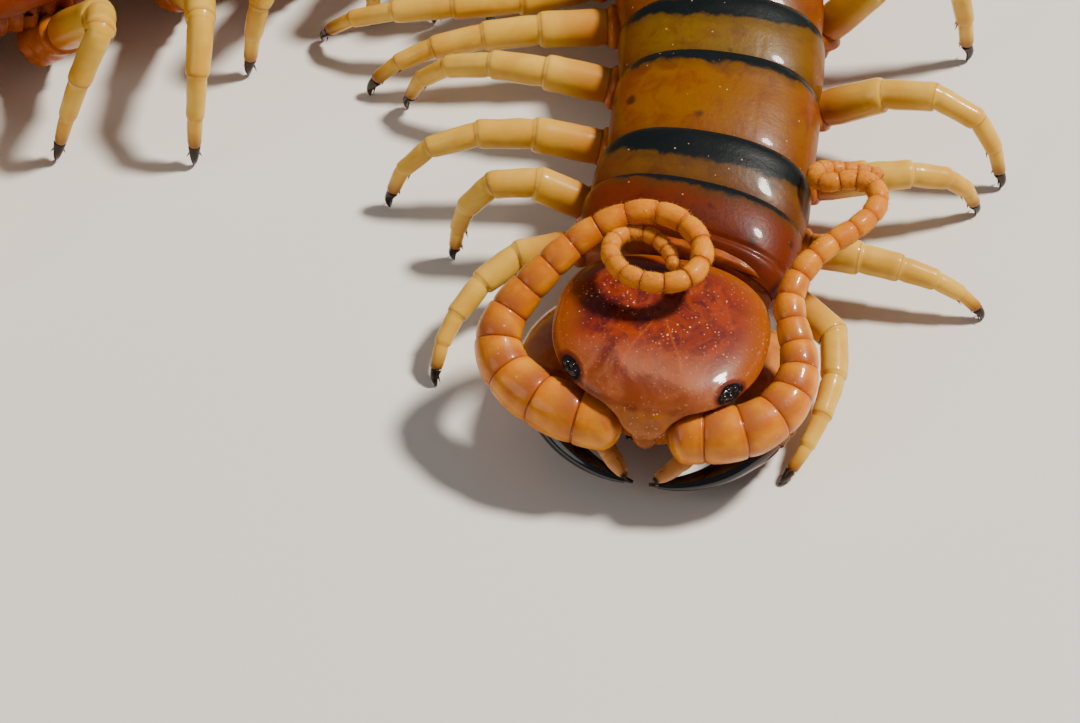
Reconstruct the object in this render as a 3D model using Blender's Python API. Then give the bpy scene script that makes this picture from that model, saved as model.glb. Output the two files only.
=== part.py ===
"""A giant centipede at life size, standing on a floor with its body bent and its feelers coiled back.

Sizes are millimetres and become metres where a mesh is made. The floor is z = 0. The head faces -Y,
so that the animal's left is towards +X. Plan headings are degrees from +Y towards +X.
"""

import math

import bmesh
import bpy
from mathutils import Matrix, Vector

METRES = 0.001
GAP = 0.3  # the seam between two sub-parts that meet
CENTRING = Vector((29.745, -11.877, 0.0))  # moves the middle of the footprint to the origin

# The head: its plate is a rounded shield, seen from above.
HEAD_MIDDLE = Vector((0.0, 0.25))
HEAD_YAW = 10.0
HEAD_ROLL = 3.0  # the animal's left is lower
HEAD_FRONT = 3.25
HEAD_REAR = 2.85
HEAD_WIDTH = 6.4
HEAD_CROWN = 4.65
HEAD_RIM = 3.85
HEAD_UNDERSIDE = 2.35
HEAD_SIDES = 24
BROW_DROP = 0.36  # how far the plate's front comes down in the middle
# The face between the feelers: forward, half width, half height, and the middle's height.
FACE_STATIONS = [(0.9, 1.3, 0.6, 3.1), (1.9, 0.58, 0.6, 3.0), (2.7, 0.49, 0.62, 2.93),
                 (3.05, 0.45, 0.58, 2.86), (3.32, 0.33, 0.36, 2.78), (3.42, 0.12, 0.14, 2.7)]

# Eyes: four small lenses on a dark patch, at the plate's front corners.
EYE_SIDE = 2.36
EYE_FORWARD = 2.12
EYE_TURN = 38.0
EYE_PATCH = (0.42, 0.26)
LENS_RADIUS = 0.135
LENS_PLACES = [(0.23, 0.0), (-0.23, 0.0), (0.0, 0.13), (0.0, -0.13)]  # along the patch and across it

# The trunk: 21 leg-bearing segments, in 7 lengths of 3.
SEGMENTS = 21
SEGMENTS_PER_LENGTH = 3
LONG_SEGMENTS = {3, 5, 7, 8, 10, 12, 14, 16, 18, 20}
TRUNK_START = 2.85  # behind the head's middle
TRUNK_HEADING = [(0, 17), (3, 11), (6, 7), (9, 3), (12, -5), (15, -23), (18, -44), (21, -65), (24, -84),
                 (27, -99), (30, -110), (33, -115), (38, -117), (44, -117), (52, -119), (60, -124),
                 (68, -119), (76, -106), (84, -97)]
TRUNK_WIDTH = [(0, 6.45), (2, 6.75), (4.5, 6.45), (8, 6.35), (14, 6.6), (30, 7.4), (55, 7.4), (70, 6.8),
               (84, 5.6)]
TRUNK_TOP = [(0, 4.85), (4, 5.05), (30, 5.45), (60, 5.4), (84, 4.7)]
TRUNK_ROLL = [(0, 3), (4, 6), (10, 4), (18, 0), (84, 0)]
BELLY = 1.25
PLATE_EDGE = 3.35
PLATE_RIM = 0.42
MIDDLE_HEIGHT = 3.0

# Legs: each has five articles and a claw, and stands on a small flat.
LEG_ARTICLES = [0.25, 0.21, 0.19, 0.15, 0.11, 0.09]  # shares of the leg's length, from the root
LEG_RADII = [(0.61, 0.57), (0.51, 0.47), (0.42, 0.37), (0.33, 0.28), (0.25, 0.21), (0.17, 0.12)]
LEG_SIDES = 6
LEG_LENGTH = [(1, 6.7), (2, 7.1), (3, 8.2), (5, 9.0), (10, 9.6), (16, 10.0), (20, 11.0), (21, 15.0)]
LEG_SCALE = [(1, 0.92), (4, 1.0), (10, 1.08), (18, 1.08), (20, 1.1), (21, 1.5)]
LEG_SWEEP = [(1, 38), (3, 12), (8, 4), (14, -8), (18, -24), (20, -42), (21, -74)]
LEG_REACH = 0.66  # the foot's distance out, as a share of the leg's length
STEP_SWEEP = 13.0
STEPS_PER_WAVE = 6.5
ROOT_HEIGHT = 2.2
FOOT_FLAT = 0.13
# Where the feet that the photo shows stand, in plan.
FEET = {
    (-1, 1): (-6.7, 1.5), (-1, 2): (-6.2, 6.7), (-1, 3): (-8.2, 8.9), (-1, 4): (-7.7, 13.1),
    (-1, 5): (-8.9, 13.7), (-1, 6): (-10.4, 16.1), (-1, 7): (-5.1, 16.8), (-1, 8): (-6.9, 16.9),
    (-1, 9): (-8.9, 16.8), (-1, 10): (-12.7, 14.6), (-1, 11): (-14.3, 10.7), (-1, 12): (-18.6, 10.9),
    (-1, 13): (-20.9, 5.2),
    (1, 1): (3.5, -2.4), (1, 2): (9.8, 4.2), (1, 3): (9.8, 8.6), (1, 4): (10.6, 9.7),
    (1, 5): (9.8, 15.2),
}
# How far a leg bends sideways in plan, towards the tail if positive.
BOWS = {(1, 1): 0.25, (-1, 6): -0.7, (-1, 12): -1.9}
# The lengths of the legs that are held flatter than the rest, or drawn in on the inside of the bend.
LENGTHS = {
    (1, 1): 6.2, (1, 2): 6.05, (1, 3): 6.3, (1, 4): 8.0, (-1, 1): 6.3, (-1, 2): 6.5, (-1, 4): 8.0,
    (-1, 5): 8.4, (-1, 6): 9.9, (-1, 7): 7.2, (-1, 8): 7.2, (-1, 9): 7.4, (-1, 10): 8.6,
}

# Feelers: plan heading and height against the length along the feeler.
FEELER_ARTICLES = {-1: 27, 1: 25}
FEELER_LENGTH = {-1: 21.2, 1: 17.2}
FEELER_HEADING = {
    -1: [(0, -86), (1.8, -66), (4.2, -28), (5.4, 22), (6.4, 48), (8.5, 57), (10.5, 82), (12.3, 131),
         (13.9, 194), (15.3, 264), (16.8, 319), (18.4, 390), (19.7, 481), (21.2, 545)],
    1: [(0, 84), (1.3, 92), (2.5, 68), (3.8, 37), (5, 6), (6, -13), (6.9, -4), (7.7, 24), (10, 52),
        (11.5, 25), (12.3, -23), (13.0, -78), (13.6, -98), (14.1, -55), (14.7, 8), (15.4, 66),
        (16.2, 92), (17.2, 112)],
}
FEELER_HEIGHT = {
    -1: [(0, 2.68), (4, 3.15), (6, 4.0), (8.1, 5.0), (11, 5.95), (14, 5.85), (17.2, 5.75), (19.4, 5.4),
         (21.2, 5.25)],
    1: [(0, 2.58), (3.2, 2.85), (5.5, 3.5), (7.3, 4.1), (8.9, 4.5), (11, 4.65), (13.6, 4.6), (14.8, 4.25),
        (15.8, 3.9), (17.2, 3.75)],
}
FEELER_RADIUS = [(0, 0.80), (0.08, 0.85), (0.22, 0.70), (0.33, 0.53), (0.43, 0.43), (0.52, 0.36),
                 (0.66, 0.325), (0.8, 0.29), (0.92, 0.25), (1, 0.2)]
ARTICLE_LENGTH = [(0, 1.45), (2, 1.4), (4, 1.05), (11, 1.0), (16, 0.72), (26, 0.45)]  # in proportion
FEELER_SIDES = 8
FEELER_ROOT_SIDE = 0.68
FEELER_ROOT_FORWARD = {-1: 2.84, 1: 3.0}

# Poison claws: each follows an ellipse round the underside of the head.
CLAW_ELLIPSE = (3.35, 2.95)
CLAW_FORWARD = 0.55
CLAW_BACK = 4.1  # the ellipse is longer behind its middle
CLAW_ANGLES = (-46.0, 86.0)
CLAW_RADIUS = [(0, 0.75), (0.12, 1.0), (0.25, 1.08), (0.36, 0.95), (0.44, 0.8), (0.5, 0.68), (0.6, 0.5),
               (0.75, 0.36), (0.9, 0.22), (1, 0.07)]
CLAW_HEIGHT = [(0, 1.6), (0.4, 1.5), (0.7, 1.15), (1, 0.95)]
CLAW_SIDES = 8
CLAW_SHARES = [0.0, 0.1, 0.22, 0.33, 0.36, 0.39, 0.42, 0.45, 0.52, 0.62, 0.72, 0.82, 0.92, 1.0]
CLAW_JOINTS = (0.36, 0.42)  # where the claw is pinched

# The plate that carries the claws: forward, half width, underside and top; its lips: forward, half sizes.
CLAW_BASE_STATIONS = [(-2.5, 0.95, 0.95, 1.8), (-1.6, 1.45, 0.8, 2.0), (-0.5, 1.75, 0.72, 2.02),
                      (0.4, 1.6, 0.75, 1.95), (1.1, 1.05, 0.85, 1.6), (1.45, 0.85, 0.95, 1.45)]
CLAW_BASE_SECTION = [(1.0, 0.5), (0.85, 0.12), (0.45, 0.0), (-0.45, 0.0), (-0.85, 0.12), (-1.0, 0.5),
                     (-0.8, 0.95), (0.0, 1.0), (0.8, 0.95)]
LIP_STATIONS = [(1.0, 0.36, 0.24), (1.85, 0.3, 0.2), (2.1, 0.2, 0.12)]

# Palps: sideways, forward, height and radius.
PALP_STATIONS = [(1.32, 1.5, 1.72, 0.24), (1.42, 2.0, 1.6, 0.27), (1.28, 2.6, 1.52, 0.29),
                 (0.95, 3.12, 1.5, 0.28), (0.58, 3.6, 1.48, 0.19), (0.42, 3.78, 1.46, 0.08)]


def material(name, colour, roughness, metallic=0.0):
    made = bpy.data.materials.new(name)
    made.use_nodes = True
    shader = made.node_tree.nodes["Principled BSDF"]
    shader.inputs["Base Color"].default_value = (*colour, 1.0)
    shader.inputs["Roughness"].default_value = roughness
    shader.inputs["Metallic"].default_value = metallic
    return made


def along(knots, x):
    """The smooth curve through the knots, a cubic with each knot's slope taken from its neighbours."""
    if x <= knots[0][0]:
        return knots[0][1]
    if x >= knots[-1][0]:
        return knots[-1][1]
    i = next(k for k in range(len(knots) - 1) if knots[k + 1][0] >= x)

    def slope(k):
        before, after = knots[max(k - 1, 0)], knots[min(k + 1, len(knots) - 1)]
        return (after[1] - before[1]) / (after[0] - before[0])

    (x0, y0), (x1, y1) = knots[i], knots[i + 1]
    span = x1 - x0
    t = (x - x0) / span
    return (
        y0 * (1 + 2 * t) * (1 - t) ** 2
        + y1 * t * t * (3 - 2 * t)
        + span * t * (1 - t) * (slope(i) * (1 - t) - slope(i + 1) * t)
    )


def heading_vector(degrees):
    return Vector((math.sin(math.radians(degrees)), math.cos(math.radians(degrees)), 0.0))


def loft_mesh(name, rings):
    """A closed mesh through rings of equal numbers of points, capped at both ends and facing out."""
    work = bmesh.new()
    loops = [[work.verts.new(point * METRES) for point in ring] for ring in rings]
    count = len(rings[0])
    for one, two in zip(loops, loops[1:]):
        for k in range(count):
            work.faces.new((one[k], one[(k + 1) % count], two[(k + 1) % count], two[k]))
    work.faces.new(loops[0][::-1])
    work.faces.new(loops[-1])
    bmesh.ops.recalc_face_normals(work, faces=work.faces)
    mesh = bpy.data.meshes.new(name)
    work.to_mesh(mesh)
    work.free()
    return mesh


def shown(name, mesh, finish):
    piece = bpy.data.objects.new(name, mesh)
    mesh.materials.clear()
    mesh.materials.append(finish)
    bpy.context.scene.collection.objects.link(piece)
    return piece


def keep_largest(mesh):
    """Leaves only the closed surface that holds the most volume."""
    work = bmesh.new()
    work.from_mesh(mesh)
    unseen = set(work.faces)
    surfaces = []
    while unseen:
        surface, edge_of_search = set(), [unseen.pop()]
        while edge_of_search:
            face = edge_of_search.pop()
            surface.add(face)
            for edge in face.edges:
                for other in edge.link_faces:
                    if other in unseen:
                        unseen.discard(other)
                        edge_of_search.append(other)
        surfaces.append(surface)

    def volume(surface):
        total = 0.0
        for face in surface:
            corners = [vert.co for vert in face.verts]
            for one, two in zip(corners[1:], corners[2:]):
                total += corners[0].dot(one.cross(two))
        return abs(total)

    surfaces.sort(key=volume, reverse=True)
    loose = [face for surface in surfaces[1:] for face in surface]
    if loose:
        bmesh.ops.delete(work, geom=loose, context="FACES")
    work.to_mesh(mesh)
    work.free()


def fused(name, meshes, finish, operation="UNION"):
    """One body from closed meshes: the first joined with, or cut by, all the others."""
    piece = shown(name, meshes[0], finish)
    others = bpy.data.collections.new(name + "_others")
    for k, mesh in enumerate(meshes[1:]):
        others.objects.link(bpy.data.objects.new(f"{name}_other_{k}", mesh))
    bpy.context.scene.collection.children.link(others)
    join = piece.modifiers.new("join", "BOOLEAN")
    join.operation = operation
    join.operand_type = "COLLECTION"
    join.collection = others
    join.solver = "EXACT"
    graph = bpy.context.evaluated_depsgraph_get()
    graph.update()
    result = bpy.data.meshes.new_from_object(piece.evaluated_get(graph))
    piece.modifiers.clear()
    piece.data = result
    result.name = name
    result.materials.clear()
    result.materials.append(finish)
    for other in list(others.objects):
        bpy.data.objects.remove(other)
    bpy.data.collections.remove(others)
    keep_largest(result)
    return piece


def ring_round(centre, direction, radius, sides, flat=1.0, upright=Vector((0, 0, 1))):
    """Points of a circle across a direction; flat squeezes it along the upright."""
    forward = direction.normalized()
    side = forward.cross(upright)
    if side.length < 0.05:
        side = forward.cross(Vector((0, 1, 0)))
    side.normalize()
    up = side.cross(forward)
    return [
        centre
        + side * (radius * math.cos(2 * math.pi * (k + 0.5) / sides))
        + up * (radius * flat * math.sin(2 * math.pi * (k + 0.5) / sides))
        for k in range(sides)
    ]


# The head's own frame


def head_axes():
    forward = -heading_vector(HEAD_YAW)
    left = Vector((-forward.y, forward.x, 0.0))
    return left, forward


def head_point(left_by, forward_by, height):
    left, forward = head_axes()
    drop = left_by * math.tan(math.radians(HEAD_ROLL))
    return HEAD_MIDDLE.to_3d() + left * left_by + forward * forward_by + Vector((0, 0, height - drop))


def plate_outline(angle):
    """The head plate's edge in plan at an angle from its left, anticlockwise to its front."""
    across, ahead = math.cos(angle), math.sin(angle)
    power = 2.5
    reach = (abs(across) ** power + abs(ahead) ** power) ** (-1 / power)
    narrowing = 1 - 0.15 * max(0.0, ahead) ** 2
    length = HEAD_FRONT if ahead > 0 else HEAD_REAR
    return across * reach * narrowing * HEAD_WIDTH / 2, ahead * reach * length


def head_ring(scale, height, back=0.0):
    """A level ring of the head, but for the brow, which dips between the feelers."""
    ring = []
    for k in range(HEAD_SIDES):
        x, y = plate_outline(2 * math.pi * k / HEAD_SIDES)
        near_rim = min(1.0, max(0.0, scale - 0.7) * 4) if y > 0 else 0.0
        brow = BROW_DROP * near_rim * math.exp(-((x / 0.66) ** 2))
        ring.append(head_point(x * scale, y * scale - back, height - brow))
    return ring


def head_meshes():
    """The shield-shaped head, the face between the feelers, and their two sockets."""
    rings = [
        head_ring(0.48, HEAD_UNDERSIDE, 0.8),
        head_ring(0.62, HEAD_UNDERSIDE + 0.08, 0.8),
        head_ring(0.69, 2.9, 0.7),
        head_ring(0.74, 3.4, 0.55),
        head_ring(0.96, HEAD_RIM - 0.16, 0.05),
        head_ring(1.0, HEAD_RIM),
        head_ring(0.95, HEAD_RIM + 0.25),
        head_ring(0.80, HEAD_RIM + 0.50),
        head_ring(0.55, HEAD_RIM + 0.70),
        head_ring(0.25, HEAD_CROWN),
    ]
    meshes = [loft_mesh("skull", rings)]
    face = [
        [head_point(x * wide, ahead, height + z * tall) for x, z in FACE_SECTION]
        for ahead, wide, tall, height in FACE_STATIONS
    ]
    meshes.append(loft_mesh("face", face))
    return meshes


FACE_SECTION = [(math.cos(math.pi * k / 4), math.sin(math.pi * k / 4)) for k in range(8)]


def feeler_direction(side):
    return heading_vector(FEELER_HEADING[side][0][1])


def feeler_root(side):
    root = head_point(side * FEELER_ROOT_SIDE, FEELER_ROOT_FORWARD[side], 0.0)
    return Vector((root.x, root.y, FEELER_HEIGHT[side][0][1]))


def build_head(finish):
    meshes = head_meshes()
    for side in (-1, 1):
        direction = feeler_direction(side)
        end = feeler_root(side) - direction * GAP
        start = head_point(side * 0.1, 1.7, 2.85)
        meshes.append(loft_mesh("socket", [
            ring_round(start, direction, 0.42, FEELER_SIDES),
            ring_round(start.lerp(end, 0.6), direction, 0.47, FEELER_SIDES),
            ring_round(end, direction, 0.47, FEELER_SIDES),
        ]))
    head = fused("head", meshes, finish)
    pockets = [eye_pocket(side) for side in (-1, 1)]
    cut = fused_again(head, pockets)
    return cut


def fused_again(piece, cutters):
    """Cuts closed meshes from a piece that is already made."""
    mesh, finish, name = piece.data, piece.data.materials[0], piece.name
    bpy.data.objects.remove(piece)
    return fused(name, [mesh, *cutters], finish, "DIFFERENCE")


# Eyes


def eye_frame(side):
    """The eye patch's middle on the plate, its outward normal, and its long direction."""
    x, y = side * EYE_SIDE, EYE_FORWARD
    middle = head_point(x, y, HEAD_RIM + 0.14)
    left, forward = head_axes()
    outward = (left * (side * 0.62) + forward * 0.42 + Vector((0, 0, 0.66))).normalized()
    turn = math.radians(EYE_TURN)
    long_way = left * (side * math.sin(turn) * -1) + forward * math.cos(turn)
    long_way = (long_way - outward * long_way.dot(outward)).normalized()
    return middle, outward, long_way


def eye_oval(side, grow, lift):
    middle, outward, long_way = eye_frame(side)
    across = outward.cross(long_way)
    return [
        middle + outward * lift
        + long_way * ((EYE_PATCH[0] + grow) * math.cos(2 * math.pi * k / 10))
        + across * ((EYE_PATCH[1] + grow) * math.sin(2 * math.pi * k / 10))
        for k in range(10)
    ]


def eye_pocket(side):
    return loft_mesh("pocket", [eye_oval(side, 0.1, -0.3), eye_oval(side, 0.14, 0.6)])


def build_eye(side, name, finish):
    """A low patch with four domed lenses in a diamond."""
    patch = loft_mesh("patch", [
        eye_oval(side, grow, lift) for grow, lift in ((-0.02, -0.1), (0.0, 0.06), (-0.1, 0.15), (-0.2, 0.18))
    ])
    meshes = [patch]
    middle, outward, long_way = eye_frame(side)
    across = outward.cross(long_way)
    for along_by, across_by in LENS_PLACES:
        centre = middle + long_way * along_by + across * across_by + outward * 0.1
        meshes.append(loft_mesh("lens", [
            ring_round(centre + outward * (LENS_RADIUS * math.sin(tilt)), outward,
                       LENS_RADIUS * math.cos(tilt), 6, upright=long_way)
            for tilt in (-0.3, 0.5, 1.2)
        ]))
    return fused(name, meshes, finish)


# The trunk's path


def walk_trunk():
    """Positions along the trunk's middle line in plan, one for each step of 0.1 mm."""
    step = 0.1
    left, forward = head_axes()
    place = HEAD_MIDDLE.to_3d() - forward * TRUNK_START
    places = [place.copy()]
    for k in range(int(TRUNK_HEADING[-1][0] / step) + 10):
        place = place + heading_vector(along(TRUNK_HEADING, (k + 0.5) * step)) * step
        places.append(place.copy())
    return places, step


TRUNK_LINE, TRUNK_STEP = walk_trunk()


def trunk_frame(s):
    """The middle line's plan position, its direction to the tail, and the animal's left."""
    position = max(0.0, s) / TRUNK_STEP
    k = min(int(position), len(TRUNK_LINE) - 2)
    place = TRUNK_LINE[k].lerp(TRUNK_LINE[k + 1], position - k)
    tailward = heading_vector(along(TRUNK_HEADING, s))
    if s < 0:
        place = place + tailward * s
    return place, tailward, Vector((tailward.y, -tailward.x, 0.0))


def trunk_point(s, left_by, height, ref=None):
    """A point on the trunk; the body rolls about its middle height."""
    place, tailward, left = trunk_frame(s if ref is None else ref)
    roll = math.radians(along(TRUNK_ROLL, s))
    rise = height - MIDDLE_HEIGHT
    across = left_by * math.cos(roll) + rise * math.sin(roll)
    up = rise * math.cos(roll) - left_by * math.sin(roll)
    shift = (s - ref) if ref is not None else 0.0
    return place + tailward * shift + left * across + Vector((0, 0, MIDDLE_HEIGHT + up))


def segment_length(i):
    full = 2.65 + 2.3 * min(1.0, (i - 1) / 9) ** 0.8
    if i == 1:
        return 2.15
    if i >= 20:
        return 4.4 if i == 20 else 3.3
    return full if i in LONG_SEGMENTS else full * (0.63 + 0.009 * i)


SEGMENT_STARTS = [0.0]
for _i in range(1, SEGMENTS + 1):
    SEGMENT_STARTS.append(SEGMENT_STARTS[-1] + segment_length(_i))


def core_ring(s, narrow):
    """The soft body under the plates."""
    half = along(TRUNK_WIDTH, s) / 2 * narrow
    top = along(TRUNK_TOP, s) - 0.45
    return [
        trunk_point(s, half * x, z)
        for x, z in ((0.55, BELLY), (0.8, 1.5), (0.93, 2.2), (0.9, 3.0), (0.75, 3.9), (0.4, top), (-0.4, top),
                     (-0.75, 3.9), (-0.9, 3.0), (-0.93, 2.2), (-0.8, 1.5), (-0.55, BELLY))
    ]


PLATE_ARCH = [math.radians(angle) for angle in (0, 24, 48, 70, 90, 110, 132, 156, 180)]


def plate_ring(s, wide, drop, bow=0.0):
    """A back plate's section: an arch with a blunt rim on each side, its middle set back by the bow."""
    half = along(TRUNK_WIDTH, s) / 2 * wide
    rise = along(TRUNK_TOP, s) - drop - PLATE_EDGE
    ring = []
    for angle in PLATE_ARCH:
        x = half * math.copysign(abs(math.cos(angle)) ** 0.86, math.cos(angle))
        z = PLATE_EDGE - drop * 0.3 + rise * abs(math.sin(angle)) ** 0.9
        ring.append(trunk_point(s + bow * (1 - (x / half) ** 2), x, z, s))
    for x in (-half * 0.94, half * 0.94):
        ring.append(trunk_point(s, x, PLATE_EDGE - PLATE_RIM, s))
    return ring


def plate_mesh(i, start, end, first, last):
    """The back plate of a segment, lower at its front edge and lifted over the next at its rear."""
    length = end - start
    front_bow = 0.4 if i == 1 else 0.0
    stations = [
        (start + (0.0 if first else 0.1) - front_bow * 0.45, 0.94, 0.42, front_bow),
        (start + 0.2 * length - front_bow * 0.45, 0.98, 0.22, front_bow),
        (start + 0.62 * length, 1.0, 0.04, 0.0),
        (end - 0.14 * length, 0.985, 0.0, 0.1),
        (end - (0.0 if last else 0.05), 0.95, 0.10, 0.0 if last else 0.16),
    ]
    if i == SEGMENTS:
        stations = stations[:3] + [(end - 0.9, 0.86, 0.12, 0.3), (end + 0.1, 0.52, 0.55, 0.35)]
    return loft_mesh("back_plate", [plate_ring(*station) for station in stations])


def belly_mesh(i, start, end, first, last):
    """The flat belly plate of a segment."""
    ends = (start + (0.0 if first else 0.25), end - (0.0 if last else 0.25))
    stations = [(ends[0], 0.55), (ends[1], 0.6)]
    rings = []
    for s, wide in stations:
        half = along(TRUNK_WIDTH, s) / 2 * wide
        rings.append([
            trunk_point(s, half * x, z)
            for x, z in ((1.0, BELLY + 0.45), (1.0, BELLY - 0.08), (0.85, BELLY - 0.2), (-0.85, BELLY - 0.2),
                         (-1.0, BELLY - 0.08), (-1.0, BELLY + 0.45))
        ])
    return loft_mesh("belly_plate", rings)


def build_trunk(number, finish):
    """One length of the trunk: its soft body, plates, and the hips that carry its legs."""
    first = number * SEGMENTS_PER_LENGTH + 1
    last = first + SEGMENTS_PER_LENGTH - 1
    from_s = SEGMENT_STARTS[first - 1] + GAP / 2
    to_s = SEGMENT_STARTS[last] - (GAP / 2 if last < SEGMENTS else 0.0)
    rings = []
    for i in range(first, last + 1):
        start = from_s if i == first else SEGMENT_STARTS[i - 1]
        end = to_s if i == last else SEGMENT_STARTS[i]
        rings.append(core_ring(start, 0.88 if i == first else 0.84))
        rings.append(core_ring((start + end) / 2, 0.98))
        if i == last:
            rings.append(core_ring(end, 0.88 if last < SEGMENTS else 0.62))
    meshes = [loft_mesh("core", rings)]
    for i in range(first, last + 1):
        start = from_s if i == first else SEGMENT_STARTS[i - 1]
        end = to_s if i == last else SEGMENT_STARTS[i]
        meshes.append(plate_mesh(i, start, end, i == first, i == last and last < SEGMENTS))
        meshes.append(belly_mesh(i, start, end, i == first, i == last and last < SEGMENTS))
        for side in (-1, 1):
            meshes.append(hip_mesh(i, side))
    return fused(f"trunk_{number + 1}", meshes, finish)


# Legs


def leg_root(i, side):
    """The middle of the leg's root face."""
    share = 0.45 if i < SEGMENTS else 1.05
    s = SEGMENT_STARTS[i - 1] + share * (SEGMENT_STARTS[i] - SEGMENT_STARTS[i - 1])
    half = along(TRUNK_WIDTH, s) / 2
    out = half + 0.2 if i < SEGMENTS else half * 0.5
    return trunk_point(s, side * out, ROOT_HEIGHT), s


def leg_scale(i):
    return along(LEG_SCALE, i)


def leg_length(i, side):
    return LENGTHS.get((side, i), along(LEG_LENGTH, i))


def foot_place(i, side):
    root, s = leg_root(i, side)
    if (side, i) in FEET:
        x, y = FEET[(side, i)]
        return Vector((x, y, 0.0))
    place, tailward, left = trunk_frame(s)
    phase = 2 * math.pi * i / STEPS_PER_WAVE + (0.0 if side > 0 else 2.2)
    step = STEP_SWEEP * math.sin(phase) if i < SEGMENTS else 0.0
    sweep = math.radians(along(LEG_SWEEP, i) + step)
    direction = left * (side * math.cos(sweep)) - tailward * math.sin(sweep)
    reach = leg_length(i, side) * (LEG_REACH + 0.04 * math.cos(phase) if i < SEGMENTS else 0.9)
    foot = root + direction * reach
    return Vector((foot.x, foot.y, 0.0))


def bezier(points, t):
    a, b, c, d = points
    return a * (1 - t) ** 3 + b * (3 * t * (1 - t) ** 2) + c * (3 * t * t * (1 - t)) + d * t ** 3


def leg_handles(reach, drop, outward, bow, lift):
    first = outward * (0.42 * max(reach, 4.0))
    return [
        Vector((0, 0, 0)),
        Vector((first.x, first.y + bow, 0.55 * lift)),
        Vector((0.97 * reach, first.y * 0.35 + bow * 0.7, 1.15 * lift - drop * 0.3)),
        Vector((reach, 0, -drop)),
    ]


def leg_curve(reach, drop, outward, bow, length):
    """The arch of the given length that leaves the body square to it and comes down on the foot."""
    low, high = 0.0, 14.0
    for _ in range(30):
        lift = (low + high) / 2
        points = [bezier(leg_handles(reach, drop, outward, bow, lift), k / 60) for k in range(61)]
        total = sum((b - a).length for a, b in zip(points, points[1:]))
        low, high = (lift, high) if total < length else (low, lift)
    return points


def point_at(points, share):
    """The point at a share of a polyline's length."""
    lengths = [(b - a).length for a, b in zip(points, points[1:])]
    goal = share * sum(lengths)
    for a, b, length in zip(points, points[1:], lengths):
        if goal <= length:
            return a.lerp(b, goal / length)
        goal -= length
    return points[-1].copy()


def leg_pose(i, side):
    """The leg's place, its turn about the vertical, and its joints in its own frame."""
    root, s = leg_root(i, side)
    foot = foot_place(i, side)
    flat = Vector((foot.x - root.x, foot.y - root.y, 0.0))
    turn = math.atan2(flat.y, flat.x)
    place, tailward, left = trunk_frame(s)
    square = left * side if i < SEGMENTS else flat.normalized()
    outward = Matrix.Rotation(-turn, 3, "Z") @ square
    curve = leg_curve(flat.length, root.z, outward, BOWS.get((side, i), 0.0) * side, leg_length(i, side))
    joints = [Vector((0, 0, 0))]
    share = 0.0
    for article in LEG_ARTICLES:
        share += article
        joints.append(point_at(curve, share))
    joints[-1] = curve[-1].copy()
    return root, turn, joints


def hip_mesh(i, side):
    """A short stub from inside the body to the leg's root face."""
    root, turn, joints = leg_pose(i, side)
    spin = Matrix.Rotation(turn, 3, "Z")
    direction = spin @ (joints[1] - joints[0]).normalized()
    radius = LEG_RADII[0][0] * leg_scale(i)
    inner = root - direction * (1.6 if i < SEGMENTS else 1.9)
    return loft_mesh("hip", [
        ring_round(inner, direction, radius * 1.15, LEG_SIDES),
        ring_round(root, direction, radius, LEG_SIDES),
    ])


def leg_rings(i, joints, drop):
    scale = leg_scale(i)
    rings = []
    directions = [(b - a).normalized() for a, b in zip(joints, joints[1:])]
    for k, (radii, direction) in enumerate(zip(LEG_RADII, directions)):
        a, b = joints[k], joints[k + 1]
        before = directions[k - 1] if k else direction
        after = directions[k + 1] if k + 1 < len(directions) else direction
        last = k == len(LEG_RADII) - 1
        start = a + direction * GAP if k == 0 else a.lerp(b, 0.07)
        rings.append(ring_round(start, direction + before * 0.6, radii[0] * scale * 0.93, LEG_SIDES))
        if last:
            break
        rings.append(ring_round(a.lerp(b, 0.92), direction + after * 0.6, radii[1] * scale, LEG_SIDES))
    foot = joints[-1]
    side = rings[-1][0] - joints[-2].lerp(foot, 0.07)
    start_angle = math.atan2(side.y, side.x)
    rings.append([
        Vector((foot.x + FOOT_FLAT * math.cos(start_angle + 2 * math.pi * k / LEG_SIDES),
                foot.y + FOOT_FLAT * math.sin(start_angle + 2 * math.pi * k / LEG_SIDES), -drop))
        for k in range(LEG_SIDES)
    ])
    return rings


def build_leg(i, side, name, finish):
    root, turn, joints = leg_pose(i, side)
    leg = shown(name, loft_mesh(name, leg_rings(i, joints, root.z)), finish)
    leg.location = root * METRES
    leg.rotation_euler = (0.0, 0.0, turn)
    return leg


# Feelers


def feeler_line(side):
    """Points and directions along a feeler, one for each step of 0.05 mm."""
    step = 0.05
    headings, heights = FEELER_HEADING[side], FEELER_HEIGHT[side]
    place = feeler_root(side)
    line = [place.copy()]
    count = int(FEELER_LENGTH[side] / step)
    for k in range(count):
        rise = along(heights, (k + 1) * step) - along(heights, k * step)
        level = math.sqrt(max(step * step - rise * rise, 0.0))
        place = place + heading_vector(along(headings, (k + 0.5) * step)) * level
        place.z = along(heights, (k + 1) * step)
        line.append(place.copy())
    return line


def build_feeler(side, name, finish):
    """A row of bead-like articles, each a little longer than wide, that shrink to the tip."""
    line = feeler_line(side)
    count = FEELER_ARTICLES[side]
    weights = [along(ARTICLE_LENGTH, k) for k in range(count)]
    total = sum(weights)
    rings = []
    share = 0.0
    last = len(line) - 1
    for k, weight in enumerate(weights):
        for inside, swell in ((0.05, 0.9), (0.72, 1.04)):
            at = (share + inside * weight / total) * last
            index = min(int(at), last - 1)
            centre = line[index].lerp(line[index + 1], at - index)
            direction = line[min(index + 3, last)] - line[max(index - 3, 0)]
            radius = along(FEELER_RADIUS, at / last) * swell
            if k == 0 and inside < 0.1:
                radius *= 0.84
            if k == count - 1 and inside > 0.5:
                radius *= 0.85
            rings.append(ring_round(centre, direction, radius, FEELER_SIDES))
        share += weight / total
    return shown(name, loft_mesh(name, rings), finish)


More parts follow.
